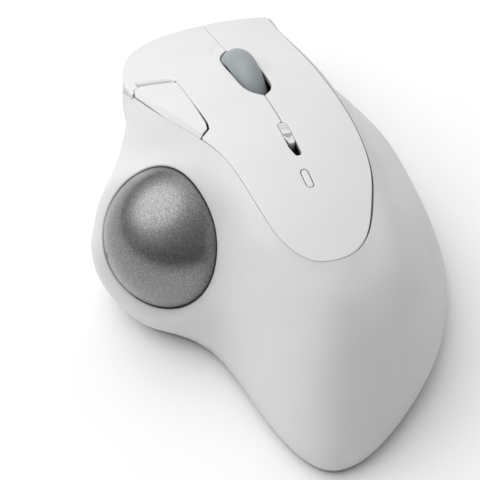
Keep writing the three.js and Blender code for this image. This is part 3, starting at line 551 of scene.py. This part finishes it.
# ------------------------------------------------------------------ finishes
def finish_nodes(name):
    """New material, its node tree, its shader and the place on the object in metres."""
    material = bpy.data.materials.new(name)
    material.use_nodes = True
    tree = material.node_tree
    shader = tree.nodes["Principled BSDF"]
    place = tree.nodes.new("ShaderNodeTexCoord").outputs["Object"]
    return material, tree, shader, place


def noise(tree, place, size, detail=3):
    """Cloudy pattern whose blobs are about size metres across."""
    node = tree.nodes.new("ShaderNodeTexNoise")
    node.inputs["Scale"].default_value = 1 / size
    node.inputs["Detail"].default_value = detail
    tree.links.new(place, node.inputs["Vector"])
    return node.outputs["Fac"]


def spread(tree, value, low, high, start=0.3, end=0.7):
    """Maps start..end of a value to low..high."""
    node = tree.nodes.new("ShaderNodeMapRange")
    for socket, number in (("From Min", start), ("From Max", end), ("To Min", low), ("To Max", high)):
        node.inputs[socket].default_value = number
    tree.links.new(value, node.inputs["Value"])
    return node.outputs["Result"]


def tint(tree, value, first, second):
    """Colour that runs from first to second with a value from 0 to 1."""
    node = tree.nodes.new("ShaderNodeMix")
    node.data_type = "RGBA"
    node.inputs["A"].default_value = (*first, 1)
    node.inputs["B"].default_value = (*second, 1)
    tree.links.new(value, node.inputs["Factor"])
    return node.outputs["Result"]


def relief(tree, height, depth, strength=1.0):
    """Bump of a height pattern, depth in metres."""
    node = tree.nodes.new("ShaderNodeBump")
    node.inputs["Distance"].default_value = depth
    node.inputs["Strength"].default_value = strength
    tree.links.new(height, node.inputs["Height"])
    return node.outputs["Normal"]


def moulded(name, light, dark, roughness, grain=0.00022, depth=0.00001, patch=0.011, coat=0.0,
            coat_roughness=0.3):
    """Moulded plastic: a fine spark-eroded grain, faint cloudy colour and slightly uneven gloss."""
    material, tree, shader, place = finish_nodes(name)
    cloud = noise(tree, place, patch)
    colour = tint(tree, spread(tree, cloud, 0, 1), light, dark)
    tree.links.new(colour, shader.inputs["Base Color"])
    grains = noise(tree, place, grain, 2)
    tree.links.new(spread(tree, grains, *roughness), shader.inputs["Roughness"])
    tree.links.new(relief(tree, grains, depth), shader.inputs["Normal"])
    shader.inputs["Coat Weight"].default_value = coat
    shader.inputs["Coat Roughness"].default_value = coat_roughness
    return material


def metal(name, light, dark, roughness, stretch=(1, 1, 12), size=0.0006):
    """Drawn or turned metal: fine streaks along one direction in colour and gloss."""
    material, tree, shader, place = finish_nodes(name)
    mapping = tree.nodes.new("ShaderNodeMapping")
    mapping.inputs["Scale"].default_value = stretch
    tree.links.new(place, mapping.inputs["Vector"])
    streaks = noise(tree, mapping.outputs["Vector"], size)
    tree.links.new(tint(tree, spread(tree, streaks, 0, 1), light, dark), shader.inputs["Base Color"])
    tree.links.new(spread(tree, streaks, *roughness), shader.inputs["Roughness"])
    shader.inputs["Metallic"].default_value = 1
    return material


FLAKE_SIZE = 0.00013


def flake_paint():
    """Ball finish: grey base full of tiny bright flakes under a clear glossy layer. Each cell of
    a cell pattern has its own brightness, gloss and tilt."""
    material, tree, shader, place = finish_nodes("ball_flake_finish")
    cells = tree.nodes.new("ShaderNodeTexVoronoi")
    cells.inputs["Scale"].default_value = 1 / FLAKE_SIZE
    tree.links.new(place, cells.inputs["Vector"])
    pick = tree.nodes.new("ShaderNodeSeparateColor")
    tree.links.new(cells.outputs["Color"], pick.inputs["Color"])
    flakes = spread(tree, pick.outputs["Red"], 0, 1, 0.35, 1.0)
    colour = tint(tree, flakes, (0.16, 0.16, 0.16), (0.37, 0.365, 0.355))
    tree.links.new(colour, shader.inputs["Base Color"])
    tree.links.new(spread(tree, pick.outputs["Green"], 0.24, 0.42, 0, 1), shader.inputs["Roughness"])
    tree.links.new(relief(tree, pick.outputs["Blue"], 0.00001, 0.6), shader.inputs["Normal"])
    shader.inputs["Metallic"].default_value = 1
    shader.inputs["Coat Weight"].default_value = 0.5
    shader.inputs["Coat Roughness"].default_value = 0.16
    return material


shell_plastic = moulded("shell_plastic", (0.735, 0.735, 0.74), (0.71, 0.71, 0.715), (0.42, 0.52))
key_plastic = moulded("key_plastic", (0.765, 0.765, 0.765), (0.745, 0.745, 0.75), (0.42, 0.52))
base_plastic = moulded("base_plastic", (0.34, 0.34, 0.345), (0.30, 0.30, 0.305), (0.45, 0.6))
lens_plastic = moulded("milky_lens_plastic", (0.80, 0.80, 0.79), (0.76, 0.76, 0.75), (0.2, 0.28),
                       grain=0.0005, depth=0.000004, coat=0.5)
tyre_rubber = moulded("tyre_soft_grey", (0.315, 0.35, 0.365), (0.295, 0.328, 0.343), (0.42, 0.52),
                      grain=0.0003)
# dark_plastic is the real dark parts' finish, and it also paints the deck near-black as painted shade
# seen through the gaps and slots.
dark_plastic = moulded("dark_plastic", (0.03, 0.03, 0.032), (0.02, 0.02, 0.022), (0.35, 0.5))
holder_plastic = moulded("holder_plastic", (0.20, 0.195, 0.175), (0.17, 0.165, 0.15), (0.4, 0.55))
glide_plastic = moulded("glide_plastic", (0.84, 0.84, 0.82), (0.79, 0.79, 0.77), (0.22, 0.34),
                        grain=0.0006)
board_varnish = moulded("board_varnish", (0.02, 0.13, 0.05), (0.015, 0.10, 0.04), (0.25, 0.4),
                        grain=0.0009, patch=0.0025, coat=0.4)
cell_sleeve = moulded("cell_sleeve", (0.05, 0.16, 0.24), (0.04, 0.13, 0.2), (0.2, 0.3),
                      grain=0.0012, coat=0.5)
bearing_steel = metal("bearing_steel", (0.62, 0.63, 0.64), (0.45, 0.46, 0.47), (0.16, 0.3))
spring_bronze = metal("spring_bronze", (0.62, 0.42, 0.16), (0.48, 0.31, 0.11), (0.25, 0.4))
ball_flakes = flake_paint()

SLOT_FINISH = {"shell": shell_plastic, "keys": key_plastic, "lens": lens_plastic,
               "ball_metal": ball_flakes, "tyre_grey": tyre_rubber, "dark_plastic": dark_plastic,
               "holder_plastic": holder_plastic, "steel": bearing_steel,
               "circuit_board": board_varnish, "copper_alloy": spring_bronze,
               "cell_wrap": cell_sleeve, "glide": glide_plastic}


def finish_frame_nodes():
    """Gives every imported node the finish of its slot."""
    for part in frame["record"]["subparts"]:
        node = frame["nodes"][part["node"]]
        node.data.materials.clear()
        node.data.materials.append(SLOT_FINISH[part["material_slot"]])


# ------------------------------------------------------------------ shell
ROUND_STEPS = 480
DOWN_STEPS = 150
EDGE_START = 0.006
WALL = 2.3
RIM_WALL_DEPTHS = (0.5, 1.2, 2.2)
EDGE_ROUND = 0.16
THUMB_SIDE_GAP = 0.36
STRIP_MOST = 2
STRIP_DROP = 1.32
LEDGE = 1.9
FOOT_BEVEL = 0.25
FOOT_STEP = 0.12
FOOT_FOLD = 6


def shell_piece():
    """Shell: the body surface on a grid of sections and rows, trimmed round the ball where its
    distance from the ball's centre falls under the rim radius, with a quarter round into the hole
    and a wall that stays clear of the ball. Along the top a strip carries the surface inwards at
    the crown's slope until only the gap to the key cover or the thumb key is left; it ends in a
    round edge, a drop to the deck and a ledge. The foot folds in and up inside."""

    def place(i, j):
        return i * len(SECTIONS) / ROUND_STEPS, EDGE_START + (1 - EDGE_START) * j / DOWN_STEPS

    def level(i, j):
        return np.linalg.norm(body_point(*place(i, j)) - BALL, axis=-1) - RIM_R - RIM_ROUND

    i, j, quads, triangles, moved = trim(level, (ROUND_STEPS, DOWN_STEPS + 1), wrap=True)
    points = body_point(*place(i, j))
    points[j >= DOWN_STEPS, 2] = SHELL_FOOT
    faces = [quads[:, ::-1], triangles[:, ::-1]]
    rim_edges = boundary_edges(faces[0], faces[1], moved)
    rim = np.unique(rim_edges)
    step = 0.4
    ahead = body_point(*place(i[rim] + step, j[rim])) - body_point(*place(i[rim] - step, j[rim]))
    down = (body_point(*place(i[rim], np.minimum(j[rim] + step, DOWN_STEPS)))
            - body_point(*place(i[rim], j[rim] - step)))
    normal = unit(np.cross(down, ahead))
    radial = unit(points[rim] - BALL)
    inwards = unit(normal * np.sum(radial * normal, 1, keepdims=True) - radial)
    rows = []
    for angle in np.linspace(0, np.pi / 2, 6)[1:]:
        turned_in = inwards * np.sin(angle) - normal * (1 - np.cos(angle))
        rows.append(points[rim] + RIM_ROUND * turned_in)
    for depth in RIM_WALL_DEPTHS:
        wall = rows[4] - normal * depth
        out = wall - BALL
        radius = np.linalg.norm(out, axis=1, keepdims=True)
        rows.append(BALL + out / radius * np.maximum(radius, RIM_R))
    points, faces = carry_rows(points, faces, rim_edges, rows)

    columns = np.arange(ROUND_STEPS)
    edge = body_point(round_the_body(ROUND_STEPS), np.zeros(ROUND_STEPS))
    along = unit(np.roll(edge, -1, 0) - np.roll(edge, 1, 0))
    inside = unit(np.stack([-along[:, 1], along[:, 0], np.zeros(ROUND_STEPS)], 1))
    near_crown = np.abs(crown(edge[:, 0], edge[:, 1]) - edge[:, 2]) < STRIP_DROP
    cover = inside_distance(edge[:, 0], edge[:, 1], COVER) + edge_gap(edge[:, 0], edge[:, 1]) + 0.02
    thumb = thumb_outline(edge[:, 0], edge[:, 1]) + THUMB_SIDE_GAP
    strip = np.clip(-np.maximum(cover, thumb), 0, STRIP_MOST) * near_crown
    strip = (np.roll(strip, 1) + strip + np.roll(strip, -1)) / 3
    corner = edge + strip[:, None] * inside
    corner[:, 2] += crown(corner[:, 0], corner[:, 1]) - crown(edge[:, 0], edge[:, 1])
    nose = corner - np.minimum(strip, EDGE_ROUND)[:, None] * inside
    low = corner - np.array([0, 0, EDGE_ROUND])
    rows = [edge, (edge + nose) / 2]
    rows += [(1 - t) ** 2 * nose + 2 * t * (1 - t) * corner + t ** 2 * low for t in (0, 0.3, 0.6, 1)]
    deck = crown(edge[:, 0], edge[:, 1]) - DECK_DROP
    shelf = low.copy()
    shelf[:, 2] = np.minimum(low[:, 2], deck) - 0.05
    ledge = shelf + LEDGE * inside
    back = ledge.copy()
    back[:, 2] = crown(ledge[:, 0], ledge[:, 1]) - DECK_DROP - 0.3
    rows += [shelf, ledge, back]
    grid_edges = np.stack([columns, np.roll(columns, -1)], 1) * (DOWN_STEPS + 1)
    points, faces = carry_rows(points, faces, grid_edges, rows)

    foot = points[columns * (DOWN_STEPS + 1) + DOWN_STEPS]
    along = unit(np.roll(foot, -1, 0) - np.roll(foot, 1, 0))
    inside = np.stack([-along[:, 1], along[:, 0], np.zeros(ROUND_STEPS)], 1)
    rows = [foot + inside * FOOT_BEVEL - (0, 0, FOOT_STEP),
            foot + inside * WALL - (0, 0, FOOT_STEP),
            foot + inside * WALL + (0, 0, FOOT_FOLD)]
    grid_edges = np.stack([np.roll(columns, -1), columns], 1) * (DOWN_STEPS + 1) + DOWN_STEPS
    points, faces = carry_rows(points, faces, grid_edges, rows)
    skin = make_piece("shell_skin", within_box(points), faces)
    sharpen(skin)
    return skin


# The deck is painted near-black (dark_plastic) as painted shade in the gaps and slots above it; the
# real deck is the shell's white plastic.
def deck_piece():
    """Deck under the keys: a plate a fixed drop below the crown. Its outline is the smaller of the
    distances into the shell's top edge and into the key cover, less rectangles with round corners
    for the wheel and for the lamp with the switch, and less the thumb key's kite with some room
    ahead of it."""
    count = 240
    edge = body_point(round_the_body(count), np.zeros(count))

    def level(x, y):
        front = np.clip((y - 48) / 8, 0, 1)
        outline = soft_min(inside_distance(x, y, edge[:, :2]) - 0.05,
                           inside_distance(x, y, COVER) - 1.2 * front, 0.3)
        wheel_well = -pad_distance(x, y, (2.4, 44.5), 19.6, 31, 1)
        thumb_well = -inside_distance(x, y, KITE) - RAMP_REACH * np.clip(ahead_of_thumb(x, y), 0, 1)
        lamp_well = -pad_distance(x, y, (0.4, 8.5), 4.4, 28, 0.5)
        return np.minimum(np.minimum(outline, wheel_well), np.minimum(thumb_well, lamp_well))

    points, faces = slab((-4, 26), (52, 108), 0.8, level, lambda x, y: crown(x, y) - DECK_DROP,
                         even(1.6), 0.1, True, 1)
    return make_piece("shell_deck", points, faces)


# ------------------------------------------------------------------ keys
PITCH = 0.25
SLOT_MIDDLE_Y = 44.3
SLOT_FRONT = 14.5
SLOT_REAR = 13.5
SLOT_HALF = 3.95
SLOT_LENGTH = 14
RAMP_REACH = 2.8
RAMP_WIDE = 0.95
RAMP_SLOPE = 0.9
LIP_WIDE = 0.35
LIP_SLOPE = 2.5
DIMPLE = (-1.7, 60.4)
DIMPLE_DEEP = 0.5
DIMPLE_SPREAD = (2.2, 1.1)
THUMB_FINE_GAP = 0.14
THUMB_TIP_GAP = 0.45
THUMB_FRONT_GAP = 0.8
LENS_GAP = 0.22


def wheel_slot(x, y):
    """Distance into the wheel's slot, which has blunt pointed ends: its half width falls with the
    fifth power of the way to an end."""
    front = y > SLOT_MIDDLE_Y
    way = np.abs(y - SLOT_MIDDLE_Y) / np.where(front, SLOT_FRONT, SLOT_REAR)
    way = np.clip(way, 0, 1.5)
    half = SLOT_HALF * (1 - way ** 5)
    lean = 5 * SLOT_HALF / SLOT_LENGTH * way ** 4
    return (half - np.abs(x - SEAM_X)) / np.hypot(1, lean)


def leaning_side(x, y, side, start):
    """Distance to the right of a left side that leans in, a quarter, from start to the rear."""
    return (x - side) * 0.967 - np.clip(start - y, 0, 9) * 0.25


def switch_slot(x, y):
    """Distance into the speed switch's slot: a rectangle with round corners whose left side leans
    in at the rear."""
    x0, x1, y0, y1 = SWITCH_SLOT
    pad = pad_distance(x, y, ((x0 + x1) / 2, (y0 + y1) / 2), x1 - x0, y1 - y0, 1.15)
    return np.minimum(pad, leaning_side(x, y, x0, 9.4))


def indicator(x, y):
    """Distance into the lamp's long oval: a rectangle with fully round ends."""
    return pad_distance(x, y, INDICATOR, 1.7, 5.4, 0.84)


def thumb_outline(x, y):
    """Distance into the thumb key's kite."""
    return inside_distance(x, y, KITE)


def ahead_of_thumb(x, y):
    """Distance ahead of the straight front edge of the thumb key."""
    (ax, ay), (bx, by) = FRONT_OF_KITE
    return ((bx - ax) * (ay - y) + (by - ay) * (x - ax)) / np.hypot(bx - ax, by - ay)


def thumb_gap(x, y):
    """Gap round the thumb key: fine along its right side, wide at its rear tip and at its front."""
    to_tip = ease(np.clip((36 - y) / 14, 0, 1))
    ahead = np.clip(ahead_of_thumb(x, y) / 0.3, 0, 1)
    return THUMB_FINE_GAP + THUMB_TIP_GAP * to_tip + THUMB_FRONT_GAP * ahead


def cover_level(x, y):
    """Distance into the key cover: its outline, less the seam, the slots, the lamp and the thumb
    key, with the corners between them softened."""
    value = inside_distance(x, y, COVER)
    seam_width = np.where(y > 50, FRONT_SEAM_GAP, SEAM_GAP)
    seam = -pad_distance(x, y, (SEAM_X, 54), seam_width, 72, 0.05)
    for cut in (seam, -wheel_slot(x, y), -switch_slot(x, y), -indicator(x, y) - LENS_GAP,
                -thumb_outline(x, y) - thumb_gap(x, y)):
        value = soft_min(value, cut, 0.2)
    return value


def lip_depth(x, y):
    """Side wall of the keys: a plate's thickness, growing to a deep lip round the front."""
    front = ease(np.clip((y - 50) / 14, 0, 1))
    return PLATE + 0.06 + (LIP_DEPTH - PLATE) * front


def finger_dish(x, y):
    """Depth of two shallow dishes. A ramp runs down towards the thumb key's front edge, first at a
    gentle slope and then as a steep lip, and fades out at both ends. A bell-shaped dimple lies at
    the front left of the wheel's slot."""
    ahead = ahead_of_thumb(x, y)
    start, end = FRONT_OF_KITE[0][0] + 0.8, FRONT_OF_KITE[1][0] - 0.2
    inside = np.clip((start - x) / 1.1, 0, 1) * np.clip((x - end) / 0.8 + 0.5, 0, 1)
    ramp = RAMP_SLOPE * np.clip(RAMP_REACH - ahead, 0, RAMP_WIDE)
    lip = LIP_SLOPE * np.clip(RAMP_REACH - RAMP_WIDE - ahead, 0, LIP_WIDE)
    dimple = DIMPLE_DEEP * np.exp(-((x - DIMPLE[0]) ** 2 / DIMPLE_SPREAD[0]
                                    + (y - DIMPLE[1]) ** 2 / DIMPLE_SPREAD[1]))
    return (ramp + lip) * (ahead > 0) * inside + dimple


def key_top(x, y):
    """Height of the keys: the crown less the dishes."""
    return crown(x, y) - finger_dish(x, y)


def key_pieces():
    """Keys: one plate at the crown's height less the dishes, trimmed to the cover's outline, with
    round edges and a wall that grows to a deep lip at the front. Faces right of the seam and ahead
    of the switch slot's rear end are the right key; all others are the left key with the rear of
    the cover."""
    points, faces = slab((-5, 27), (50, 108), PITCH, cover_level, key_top, lip_depth, KEY_ROUND)
    part_line = SWITCH_SLOT[2] - 0.2
    halves = {"left_key_cover": [], "right_key_cover": []}
    for block in faces:
        middle = points[block].mean(1)
        right = (middle[:, 0] > SEAM_X) & (middle[:, 1] > part_line)
        halves["left_key_cover"].append(block[~right])
        halves["right_key_cover"].append(block[right])
    left = make_piece("left_key_cover", points, halves["left_key_cover"])
    right = make_piece("right_key_cover", points, halves["right_key_cover"])
    return left, right


FACET_WIDE = 1.0
FACET_SLOPE = 1.05


def thumb_key_piece():
    """Thumb key: a kite-shaped plate at the crown's height with a round edge. Along its outer left
    edge the height falls by a fixed slope times the way into a narrow flat facet."""
    ax, ay = KITE[8]
    bx, by = KITE[0]
    length = np.hypot(bx - ax, by - ay)

    def top(x, y):
        from_edge = ((x - ax) * (ay - by) + (y - ay) * (bx - ax)) / length
        return crown(x, y) - FACET_SLOPE * np.clip(FACET_WIDE - from_edge, 0, 3)

    points, faces = slab((-22.5, 35), (13, 32), 0.16, thumb_outline, top, even(0.75), 0.14,
                         thick=1.5)
    return make_piece("thumb_key_cover", points, faces)


def lens_piece():
    """Indicator lens: an oval plate level with the keys, with a round edge."""
    points, faces = slab(INDICATOR, (4, 7), 0.09, indicator, lambda x, y: crown(x, y) - 0.05,
                         even(2.1), 0.25)
    return make_piece("lamp_lens", points, faces)


KNOB = (0.4, 14.45)
KNOB_WIDE = 2.2
KNOB_LONG = 7.3
KNOB_STEP_Y = 13.8
RIB_PITCH = 0.85
RIB_HIGH = 0.14
POINT_Y = 12.2


def knob_piece():
    """Speed knob: a plate just under the crown whose front half is raised, with ribs across it that
    follow a cosine. Behind the step lies a notch, flat at the front and narrowing evenly to a point
    at the rear. The outline is a rectangle with small corners at the front and rounder ones at the
    rear, and its left side leans in."""

    def top(x, y):
        front = np.clip((y - KNOB_STEP_Y) / 0.35, 0, 1)
        ribs = np.cos((y - 18) * 2 * np.pi / RIB_PITCH) * np.clip((y - 15.3) / 0.2, 0, 1)
        pointer = np.clip(((y - POINT_Y) * 0.6 - np.abs(x - KNOB[0])) / 0.15, 0, 1)
        notch = pointer * np.clip((KNOB_STEP_Y + 0.1 - y) / 0.15, 0, 1)
        return crown(x, y) - 0.15 + 0.4 * front + RIB_HIGH * ribs - 0.8 * notch

    def outline(x, y):
        block = pad_distance(x, y, KNOB, KNOB_WIDE, KNOB_LONG, 0.4)
        rear = pad_distance(x, y, (KNOB[0], KNOB[1] + 2), KNOB_WIDE, KNOB_LONG + 4, 1.05)
        side = leaning_side(x, y, KNOB[0] - 1.15, 13.4)
        return np.minimum(np.minimum(block, rear), side)

    points, faces = slab(KNOB, (2.8, 8.0), 0.06, outline, top, even(3.0), 0.15)
    return make_piece("speed_knob_cap", points, faces)


# ------------------------------------------------------------------ ball, tyre and base
def turned(profile, middle, around):
    """Surface of revolution about the x direction through a middle point: profile rows (x, radius)
    carried round a circle. Returns its points, its quads and the points' numbers row by row."""
    turn = np.arange(around) * 2 * np.pi / around
    x, radius = np.asarray(profile, float).T
    points = np.stack([np.repeat(x[:, None], around, 1), radius[:, None] * np.cos(turn),
                       radius[:, None] * np.sin(turn)], -1).reshape(-1, 3) + middle
    index = np.arange(len(x) * around).reshape(len(x), around)
    quads = np.stack([index[:-1], index[1:], np.roll(index[1:], -1, 1), np.roll(index[:-1], -1, 1)],
                     -1).reshape(-1, 4)
    return points, [quads], index


BALL_AROUND = 192


def ball_piece():
    """Ball: a sphere as circles of latitude about the x direction, closed with one point at each
    pole."""
    lift = np.linspace(0, np.pi, 97)[1:-1]
    profile = np.stack([-BALL_R * np.cos(lift), BALL_R * np.sin(lift)], 1)
    points, faces, index = turned(profile, BALL, BALL_AROUND)
    poles = len(points) + np.arange(2)
    points = np.concatenate([points, BALL + [[-BALL_R, 0, 0], [BALL_R, 0, 0]]])
    first, last = index[0], index[-1]
    left_pole, right_pole = (np.full(BALL_AROUND, pole) for pole in poles)
    faces.append(np.stack([first, np.roll(first, -1), left_pole], 1)[:, ::-1])
    faces.append(np.stack([last, right_pole, np.roll(last, -1)], 1)[:, ::-1])
    return make_piece("thumb_ball_skin", points, faces)


def tyre_piece():
    """Tyre: half an ellipse across the tread turned about the wheel's axle, closed by a flat inner
    face at the hub."""
    half = WHEEL_W / 2
    inner = 9.2
    shoulder = inner + 0.1
    swing = np.linspace(-1.5, 1.5, 37)
    tread = np.stack([half * np.sin(swing), shoulder + (WHEEL_R - shoulder) * np.cos(swing)], 1)
    outline = np.concatenate([[[-half, inner]], tread, [[half, inner], [-half, inner]]])
    points, faces, _ = turned(outline, WHEEL, 160)
    return make_piece("wheel_tyre", points, faces)


# Openings of the base. Pads: middle x and y, width, length, turn. Round holes: x, y, radius.
FEET = [(-7.5, -48, 13, 5.6, 0.1), (29, 0, 8, 18, -0.35), (-2, 67, 20, 5.6, 0.12),
        (-37, 20, 8, 17, 0.1)]
BATTERY_DOOR = (-1.5, -15.85, 16.8, 54.1, 0)
POWER_SLIDER = (22, 26, 4.6, 10.4, 0)
ROUND_HOLES = [(-14.5, -38, 2.9), (19, -4, 2.9), (12.3, 69, 2.9), (-17, 62, 2.9),
               (BALL[0], BALL[1], 3), (22, 40, 2.55)]


def base_piece():
    """Base: a level plate inside the shell's foot with rounded edges. Its outline is the distance
    into the foot, less a rectangle with round corners for each foot pad, the battery door and the
    power slider, and less a circle for each screw, the mode button and the ball's push-out hole."""
    count = 300
    foot = body_point(round_the_body(count), np.ones(count))[:, :2]

    def level(x, y):
        value = inside_distance(x, y, foot) - 0.6
        cuts = [pad_distance(x, y, f[:2], f[2] + 0.6, f[3] + 0.6, 2.8, f[4]) for f in FEET]
        cuts += [pad_distance(x, y, p[:2], p[2], p[3], 0.2, p[4]) for p in (BATTERY_DOOR, POWER_SLIDER)]
        cuts += [radius - np.hypot(x - a, y - b) for a, b, radius in ROUND_HOLES]
        for cut in cuts:
            value = np.minimum(value, -cut)
        return value

    points, faces = slab((-5.9, 12), (90, 136), 0.72, level, even(1.7), even(1.1), 0.3, True, 3)
    return make_piece("base_plate", points, faces)


def dress(piece, material, body=None, replaced=()):
    """Gives a piece its material, its body and the nodes that it stands for."""
    piece.data.materials.append(material)
    if body:
        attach(piece, body)
    if replaced:
        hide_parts(*replaced)
    return piece


# ------------------------------------------------------------------ assembly
finish_frame_nodes()
flex_start = metres((0, FLEX_START_Y, crown(0, FLEX_START_Y)))
flex_end = metres((0, FLEX_END_Y, crown(0, FLEX_END_Y)))
dress(shell_piece(), shell_plastic, "casing", ["upper_shell"])
# Painted shade: the deck takes the near-black dark_plastic so the gaps and slots read dark, though it
# stands for the shell's white plastic.
dress(deck_piece(), dark_plastic, "casing")
left_cover, right_cover = key_pieces()
dress(left_cover, key_plastic, None, ["left_button", "rear_cover"])
dress(right_cover, key_plastic, None, ["right_button"])
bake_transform(left_cover)
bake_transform(right_cover)
dress(thumb_key_piece(), key_plastic, "thumb_rocker", ["thumb_key"])
dress(lens_piece(), lens_plastic, "casing", ["indicator_lens"])
dress(knob_piece(), key_plastic, "speed_slider", ["speed_knob"])
dress(ball_piece(), ball_flakes, "thumb_ball", ["ball"])
dress(tyre_piece(), tyre_rubber, "scroll_wheel", ["scroll_tyre"])
dress(base_piece(), base_plastic, "casing", ["base_tray"])


# ------------------------------------------------------------------ floor, light and camera
def aim(thing, eye, target, up=(0, 0, 1)):
    """Places a camera or lamp at eye, looking at target."""
    back = unit(np.asarray(eye, float) - np.asarray(target, float))
    side = unit(np.cross(np.asarray(up, float), back))
    over = np.cross(back, side)
    rotation = np.eye(4)
    rotation[:3, :3] = np.stack([side, over, back], 1)
    rotation[:3, 3] = eye
    thing.matrix_world = Matrix(rotation.tolist())


def lamp(name, eye, size, power, target=(0, 0, 0.02)):
    """Soft round lamp at eye, aimed at target."""
    light = bpy.data.lights.new(name, "AREA")
    light.shape = "DISK"
    light.size = size
    light.energy = power
    aim(put_in_scene(name, light), eye, target)


def floor_piece():
    """Floor: one large level square at height 0 in a nearly white, faintly cloudy finish."""
    material, tree, shader, place = finish_nodes("pale_floor")
    tree.links.new(tint(tree, noise(tree, place, 0.2), (0.97, 0.97, 0.97), (0.955, 0.955, 0.955)),
                   shader.inputs["Base Color"])
    shader.inputs["Roughness"].default_value = 0.9
    mesh = bpy.data.meshes.new("floor")
    reach = 6
    mesh.from_pydata([(-reach, -reach, 0), (reach, -reach, 0), (reach, reach, 0), (-reach, reach, 0)],
                     [], [(0, 1, 2, 3)])
    mesh.materials.append(material)
    put_in_scene("floor", mesh)


BRIGHTEST_WAY = (-0.35, 0.75, 0.56)
SKY_LOW, SKY_HIGH = 0.34, 1.25
HORIZON_SHARE = 0.06
HORIZON_START, HORIZON_END = 0.02, 0.55


def paint_sky(tree):
    """Studio surround: brightest ahead of the mouse and overhead, darker to the rear, times a share
    that falls to almost nothing at the horizon."""
    direction = tree.nodes.new("ShaderNodeTexCoord").outputs["Generated"]
    facing = tree.nodes.new("ShaderNodeVectorMath")
    facing.operation = "DOT_PRODUCT"
    facing.inputs[1].default_value = BRIGHTEST_WAY
    tree.links.new(direction, facing.inputs[0])
    strength = spread(tree, facing.outputs["Value"], SKY_LOW, SKY_HIGH, -0.1, 0.95)
    height = tree.nodes.new("ShaderNodeSeparateXYZ")
    tree.links.new(direction, height.inputs[0])
    share = spread(tree, height.outputs["Z"], HORIZON_SHARE, 1, HORIZON_START, HORIZON_END)
    product = tree.nodes.new("ShaderNodeMath")
    product.operation = "MULTIPLY"
    tree.links.new(strength, product.inputs[0])
    tree.links.new(share, product.inputs[1])
    tree.links.new(product.outputs["Value"], tree.nodes["Background"].inputs["Strength"])
    tree.nodes["Background"].inputs["Color"].default_value = (1, 1, 1, 1)


# The camera stands behind the mouse to the left and looks down on it, past a spot over the
# indicator; ASIDE and ABOVE move it left and down in its own view, in metres.
AZIMUTH, ELEVATION, DISTANCE = np.radians(-20), np.radians(50), 1.0
AIM_SPOT = metres((0, 0, 47))
FOCAL_LENGTH, SENSOR_WIDTH = 310.5, 36
ASIDE, ABOVE = 0.01594203, 0.01497585
VIEW_RIGHT = np.array([np.cos(AZIMUTH), np.sin(AZIMUTH), 0])
VIEW_BACK = np.array([np.sin(AZIMUTH) * np.cos(ELEVATION), -np.cos(AZIMUTH) * np.cos(ELEVATION),
                      np.sin(ELEVATION)])
VIEW_UP = np.cross(VIEW_BACK, VIEW_RIGHT)

camera = bpy.data.cameras.new("camera")
camera.lens = FOCAL_LENGTH
camera.sensor_width = SENSOR_WIDTH
camera.clip_start = 0.05
camera.clip_end = 20
viewer = put_in_scene("camera", camera)
spot = AIM_SPOT + VIEW_BACK * DISTANCE - VIEW_RIGHT * ASIDE - VIEW_UP * ABOVE
aim(viewer, spot, spot - VIEW_BACK, VIEW_UP)
bpy.context.scene.camera = viewer

world = bpy.data.worlds.new("studio")
world.use_nodes = True
paint_sky(world.node_tree)
bpy.context.scene.world = world
bpy.context.scene.view_settings.view_transform = "Standard"
floor_piece()
lamp("key_light", (-0.5, 0.5, 1.2), size=2.0, power=11)
